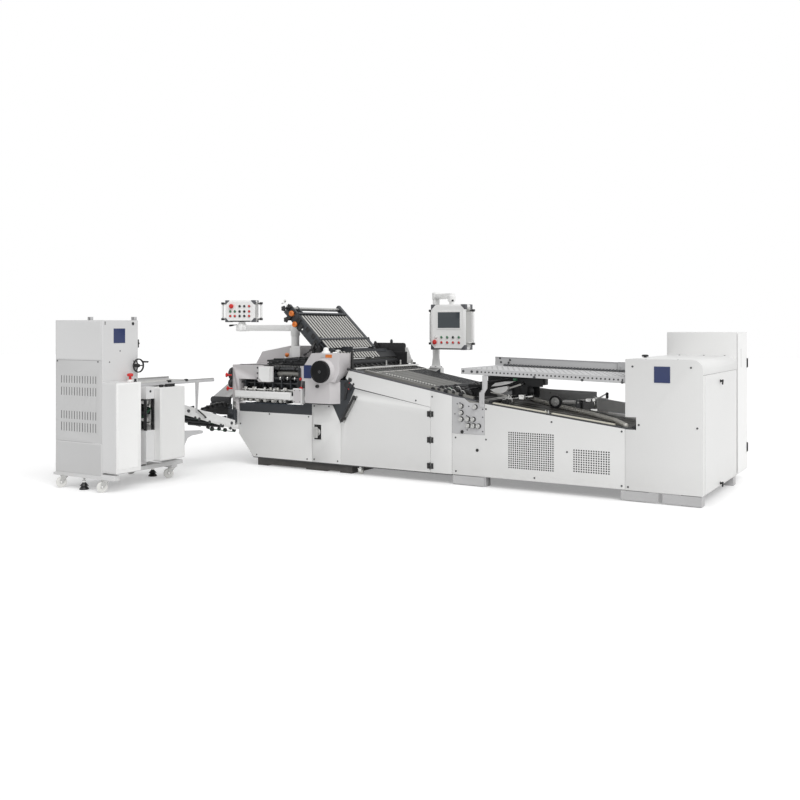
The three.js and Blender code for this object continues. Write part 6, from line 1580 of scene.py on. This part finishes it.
class LINE_OT_stacker(bpy.types.Operator):
    """Details the stacker: tower, louvres, drive box, middle, infeed box and table."""

    bl_idname = "folding_line.stacker"
    bl_label = "Stacker"

    def execute(self, context):
        brackets = []
        for x, y in ((-390, -1804), (-22, -1584)):
            brackets.append(sheet(y, [(x, 1604.8), (x, 1640), (x + 44, 1640), (x + 44, 1604.8),
                (x + 38, 1604.8), (x + 38, 1634), (x + 6, 1634), (x + 6, 1604.8)], 34, 1.2))
        done("tower_brackets", "fence enamel", brackets, slot="stacker_grey")
        # Painted shade inside the louvre slots: a dark back plate and dark slats behind the panel
        slats = [panel((-500, -2075, z), (102, -2068, z + 5), 1, 1.5, 1)
            for z in range(480, 1210, 60)]
        back = panel((-505, -2066, 470), (108, -2060, 1212), 2, 12, 1.5)
        done("louvre_back", "dark parts and painted shade", [back, *slats])
        done("tower_plate", "blue enamel", panel((125.8, -1941, 1387), (129, -1799, 1526), 1.2, 4,
            0.8, RIGHT))
        done("tower_locks", "black plastic", [turned((125.8, -1700, 1572), RIGHT,
            [(0, 15), (4, 15), (6, 11), (8, 10), (8, 4)], 20),
            block((125.8, -2048, 1560), (129, -2040, 1592), 1.5)])
        done("tower_screws", "dark steel", screws([(126, -1861, 1312), (126, -1990, 1210),
            (126, -1690, 1210), (126, -1585, 915)], RIGHT, 7))
        done("tower_latch", "black plastic", [block((96, -1635.8, 1340), (124, -1616, 1420), 5, 3),
            rod((112, -1628, 1380), (112, -1606, 1380), 10, 16, 2)])
        done("tower_faces", "stacker enamel", [panel((125.8, -2072, 1034), (127.4, -1644, 1598),
            0.6, 6, 0.5, RIGHT), panel((-509, -2082, 1232), (112, -2079.8, 1598), 1, 10, 0.8)])
        # Painted shade: the tower's lower front is a darker grey than its top
        done("tower_low_face", "stacker painted shade", panel((-509, -2082, 150), (112, -2079.8, 440), 1,
            10, 0.8))
        done("louvre_screws", "dark steel", screws([(-491, -2080, 1214), (73, -2080, 1214)],
            size=8))
        self.drive()
        self.middle()
        self.infeed()
        self.table()
        return {"FINISHED"}

    def drive(self):
        """Stop button, black button and hatch on the drive box, and its door's and side's faces."""
        done("drive_stop_button", "red plastic", turned((186, -1790, 1040), UP,
            [(0, 22), (4, 22), (5, 13), (26, 12), (28, 24), (36, 30), (48, 30), (56, 24),
            (59, 10)], 28))
        done("drive_stop_plate", "white enamel", turned((186, -1790, 1019.8), UP,
            [(0, 34), (3, 34), (5, 30), (5, 23), (20, 22)], 28))
        done("drive_black_button", "black plastic", turned((266, -1800, 1019.8), UP,
            [(0, 15), (6, 15), (8, 11), (26, 11), (30, 8)], 20))
        done("drive_hatch", "stacker enamel", panel((150, -2056, 1019.8), (296, -1900, 1023), 1.2,
            7, 1, UP))
        done("drive_door_leaf", "white enamel", panel((316.8, -2061, 218), (319.4, -1812, 1008), 1,
            5, 0.8, RIGHT), "drive_door")
        done("drive_side_leaf", "stacker enamel", panel((136, -2082.4, 192), (306, -2079.8, 1012),
            1, 7, 0.8))

    def middle(self):
        """Grey panels above and below the window, with the belts and rollers in it."""
        done("middle_panels", "stacker enamel", [panel((130, -1633, low), (237, -1523, high), 2, 6,
            0.8, RIGHT) for low, high in ((842, 960), (236, 536))])
        rim = [panel((200, y, 536), (236, y + 12, 842), 2, 3, 1, RIGHT) for y in (-1633, -1535)]
        rim += [panel((130, -1633, 690), (180, -1523, 720), 2, 5, 1.5, RIGHT),
            panel((110, -1633, 540), (116, -1523, 842), 2, 8, 1.5, RIGHT)]
        done("middle_rim", "black paint", rim, slot="dark_frame")
        # Painted shade in the middle panel's hole: a dark disc
        done("middle_hole", "dark parts and painted shade", turned((237, -1578, 915), RIGHT,
            [(-1, 12), (1.5, 12), (2, 9), (1, 8)], 20), slot="")
        done("middle_rollers", "chrome", [rod((128, y, z), (214, y, z), r, 24, 2)
            for y, z, r in ((-1602, 806, 22), (-1556, 770, 18), (-1600, 640, 24),
            (-1552, 600, 18))])
        done("middle_belts", "belt weave", [profile(x, [(-1626, 660), (-1528, 748), (-1528, 756),
            (-1626, 668)], 26, 1.5) for x in (134, 176)])
        done("stacker_rollers", "dark steel", [rod((-500, y, z), (100, y, z), r, 24, 2)
            for y, z, r in ((-1600, 800, 26), (-1560, 730, 20), (-1600, 650, 28), (-1540, 612, 18),
            (-1548, 820, 16))])
        done("stacker_roller_frame", "black paint", [panel((96, -1632, 590), (104, -1526, 840),
            1.5, 16, 2, RIGHT), panel((104, -1632, 690), (112, -1526, 712), 2, 5, 1.5, RIGHT)],
            slot="dark_frame")
        done("stacker_roller_caps", "chrome", [turned((104, y, z), RIGHT,
            [(-1, 16), (8, 16), (11, 12), (11, 6), (8, 5)], 20)
            for y, z in ((-1600, 800), (-1548, 760), (-1600, 650))])
        done("stacker_belts", "belt weave", [profile(x,
            [(-1630, 664), (-1220, 700), (-1220, 708), (-1630, 672)], 54, 1.5)
            for x in (-420, -300, -180, -60, 40)])

    def infeed(self):
        """Black catches on the infeed box's top, its leaves, arm and back frame."""
        done("infeed_catches", "black plastic", [panel((258, -1488, 949.8), (278, -1440, 976), 3,
            4, 2, UP), panel((250, -1410, 949.8), (290, -1330, 968), 3, 6, 2, UP),
            rod((270, -1415, 972), (270, -1300, 972), 8, 16),
            rod((262, -1290, 950), (262, -1290, 980), 11, 16, 2)])
        side = panel((316.8, -1514, 244), (319.2, -1200, 942), 1, 6, 0.8, RIGHT)
        front = panel((132, -1523.4, 244), (310, -1520.8, 942), 1, 6, 0.8)
        done("infeed_leaves", "cover enamel", [side, front])
        arm = profile(296, [(-1192, 500), (-960, 484), (-924, 476), (-910, 462), (-924, 448),
            (-1080, 440), (-1140, 420), (-1170, 372), (-1192, 340)], 10, 2)
        done("infeed_arm", "fence enamel", recess(arm, RIGHT, 10, 1.5), slot="stacker_grey")
        done("infeed_back_frame", "black paint", panel((-516, -1192.8, 610), (300, -1186, 832), 2,
            12, 2, BACK), slot="dark_frame")

    def table(self):
        """Cross strips, side bars and clamps on the delivery table, and the tower's foot pads."""
        done("stacker_table_strips", "slat steel", [panel((-510, y, 966.5), (142, y + 34, 970),
            1.2, 4, 0.8, UP) for y in range(-1620, -600, 92)])
        done("stacker_table_bars", "cast aluminium", [rod((144, -1630, 992), (144, -580, 992), 7,
            16), rod((-512, -1630, 992), (-512, -580, 992), 7, 16)], slot="steel")
        done("stacker_table_clamps", "black plastic", [panel((132, -1260, 985), (160, -1216, 1006),
            3, 5, 1.5, RIGHT), panel((132, -1010, 985), (158, -975, 1006), 3, 5, 1.5, RIGHT)])
        pads, nuts = [], []
        for x, y in ((-144.06, -2056), (-171.066, -1150)):
            pads.append(turned((x, y, 0.5), UP, [(0, 44), (6, 45), (12, 42), (34, 24), (48, 14),
                (52, 13)], 28))
            nuts.append(turned((x, y, 70), UP, [(0, 20), (14, 20), (16, 17)], 6))
            nuts.append(turned((x, y, 52), UP, [(0, 13.5), (18, 13.5)], 20))
        done("foot_pads", "black plastic", pads)
        done("foot_nuts", "chrome", nuts)


CASTERS = {"front_left": (-406, -2062), "front_right": (156, -2062), "rear_right": (85, -1135),
           "rear_left": (-457, -1135)}


class LINE_OT_casters(bpy.types.Operator):
    """Adds the casters' hubs, treads and bolts, and the small caster below the folder."""

    bl_idname = "folding_line.casters"
    bl_label = "Casters"

    def execute(self, context):
        for name, (x, y) in CASTERS.items():
            bench((x, y, 0), "Z", CASTER_TURN)
            sides = [turned((32, s * 13.8, 50), (0, s, 0),
                [(0, 38), (0.8, 38), (1.2, 35), (0.4, 30), (0.4, 17), (2.4, 15), (3.4, 9)], 32)
                for s in (-1, 1)]
            tread = turned((32, -13.4, 50), BACK, [(0, 46), (1.5, 49.4), (5, 50.2), (21.8, 50.2),
                (25.3, 49.4), (26.8, 46)], 40)
            done(f"caster_{name}_hub", "caster plastic", sides, f"wheel_{name}")
            done(f"caster_{name}_tread", "tyre", tread, f"wheel_{name}")
            bolts = [turned((32, s * 22, 50), (0, s, 0), [(-1, 9), (3, 9), (4, 7), (4, 3)], 6)
                for s in (-1, 1)]
            bolts.append(turned((0, 0, 96), UP, [(0, 26), (4, 30), (9, 30), (12, 24)], 28))
            done(f"caster_{name}_bolts", "chrome", bolts, f"fork_{name}")
        bench()
        self.small()
        return {"FINISHED"}

    def small(self):
        """Small caster under the folder, with a black lever."""
        done("small_caster_fork", "chrome", [turned((1600, 60, 84.6), DOWN,
            [(0, 24), (5, 24), (6, 14), (22, 12)], 24),
            *(sheet(y, [(1574, 66), (1622, 66), (1616, 28), (1596, 24)], 4, 1) for y in (44, 76)),
            panel((1576, 44, 60), (1624, 80, 68), 2, 4, 1, DOWN)])
        done("small_caster_wheel", "tyre", turned((1606, 50, 32), BACK,
            [(0, 26), (2, 31), (22, 31), (24, 26), (24, 12)], 28))
        done("small_caster_lever", "black plastic", sheet(56,
            [(1560, 44), (1590, 52), (1590, 60), (1556, 50)], 16, 2))


# Stage: the camera stands at eye height, level, with its picture shifted down
CAMERA_PLACE = (4.7125, -8.0617, 1.54)
CAMERA_TURN = math.radians(30.85)
CAMERA_SHIFT = -0.09125
LAMP_SIDE = (0.62, -0.42, 0.70)


class LINE_OT_stage(bpy.types.Operator):
    """Sets up the camera, the pale floor and the soft studio light."""

    bl_idname = "folding_line.stage"
    bl_label = "Studio"

    def execute(self, context):
        stage = context.scene.line_stage
        context.scene.view_settings.view_transform = "Standard"
        begin()
        bpy.ops.object.camera_add(location=CAMERA_PLACE,
            rotation=(math.radians(90), 0, CAMERA_TURN))
        camera = bpy.context.object
        camera.name = "studio_camera"
        camera.data.sensor_width = 36
        camera.data.lens = stage.lens
        camera.data.shift_y = CAMERA_SHIFT
        camera.data.clip_end = 200
        context.scene.camera = camera
        self.floor()
        self.room(context.scene, stage.sky)
        begin()
        bpy.ops.object.light_add(type="SUN", location=(6, -5, 6))
        lamp = bpy.context.object
        lamp.name = "wide_lamp"
        lamp.rotation_euler = Vector(LAMP_SIDE).to_track_quat("Z", "Y").to_euler()
        lamp.data.angle = math.radians(50)
        lamp.data.energy = stage.key
        return {"FINISHED"}

    def floor(self):
        """A wide pale floor, which the camera sees as white outside the shadows."""
        begin()
        bpy.ops.mesh.primitive_plane_add(size=80, location=(0, 0, -0.001))
        floor = settle()
        floor.name = "studio_floor"
        made = bpy.data.materials.new("studio floor")
        made.use_nodes = True
        tree = made.node_tree
        shader = tree.nodes["Principled BSDF"]
        place = node(tree, "ShaderNodeTexCoord").outputs["Object"]
        noise = node(tree, "ShaderNodeTexNoise", {"Vector": place, "Scale": 2.5, "Detail": 4})
        tint = node(tree, "ShaderNodeMix", {"Factor": noise.outputs["Fac"], 6: (0.8, 0.8, 0.8, 1),
            7: (0.83, 0.83, 0.83, 1)}, data_type="RGBA")
        tree.links.new(tint.outputs[2], shader.inputs["Base Color"])
        shader.inputs["Roughness"].default_value = 0.7
        shader.inputs["Specular IOR Level"].default_value = 0.1
        white = white_rays(tree)
        tree.links.new(node(tree, "ShaderNodeCombineColor",
            {0: white, 1: white, 2: white}).outputs[0], shader.inputs["Emission Color"])
        shader.inputs["Emission Strength"].default_value = 0.28
        floor.data.materials.append(made)

    def room(self, scene, strength):
        """Even room light, which the camera and mirrors see as white."""
        world = bpy.data.worlds.new("studio room")
        scene.world = world
        world.use_nodes = True
        tree = world.node_tree
        light = tree.nodes["Background"]
        white = white_rays(tree)
        level = node(tree, "ShaderNodeMapRange", {"Value": white, "To Min": strength,
            "To Max": 1.0})
        light.inputs["Color"].default_value = (1, 1, 1, 1)
        tree.links.new(level.outputs[0], light.inputs["Strength"])


class LINE_PT_panel(bpy.types.Panel):
    """Lists the steps that build the line, with its sizes and colours."""

    bl_label = "Folding line"
    bl_idname = "LINE_PT_panel"
    bl_space_type = "VIEW_3D"
    bl_region_type = "UI"
    bl_category = "Folding line"

    def draw(self, context):
        for settings in (context.scene.line_stage, context.scene.line_sizes,
                context.scene.line_colours):
            box = self.layout.box()
            for key in settings.__annotations__:
                box.prop(settings, key)
        for step in STEPS:
            self.layout.operator(step.bl_idname)


STEPS = [LINE_OT_stage, LINE_OT_finishes, LINE_OT_solids, LINE_OT_screws, LINE_OT_vents,
         LINE_OT_door, LINE_OT_switch, LINE_OT_head, LINE_OT_rack, LINE_OT_knife,
         LINE_OT_delivery, LINE_OT_boxes, LINE_OT_table, LINE_OT_valves, LINE_OT_loading,
         LINE_OT_return, LINE_OT_cabinet, LINE_OT_stacker, LINE_OT_casters]
SETTINGS = {"line_colours": LineColours, "line_sizes": LineSizes, "line_stage": StageSettings}


def register():
    """Adds the add-on's classes and its settings."""
    for kind in (*SETTINGS.values(), *STEPS, LINE_PT_panel):
        bpy.utils.register_class(kind)
    for name, kind in SETTINGS.items():
        setattr(bpy.types.Scene, name, PointerProperty(type=kind))


def unregister():
    """Takes the add-on's classes and settings away."""
    for name in SETTINGS:
        delattr(bpy.types.Scene, name)
    for kind in (LINE_PT_panel, *reversed(STEPS), *SETTINGS.values()):
        bpy.utils.unregister_class(kind)


def main():
    """Runs the steps in order."""
    register()
    for step in STEPS:
        family, name = step.bl_idname.split(".")
        getattr(getattr(bpy.ops, family), name)()


if __name__ == "__main__":
    main()
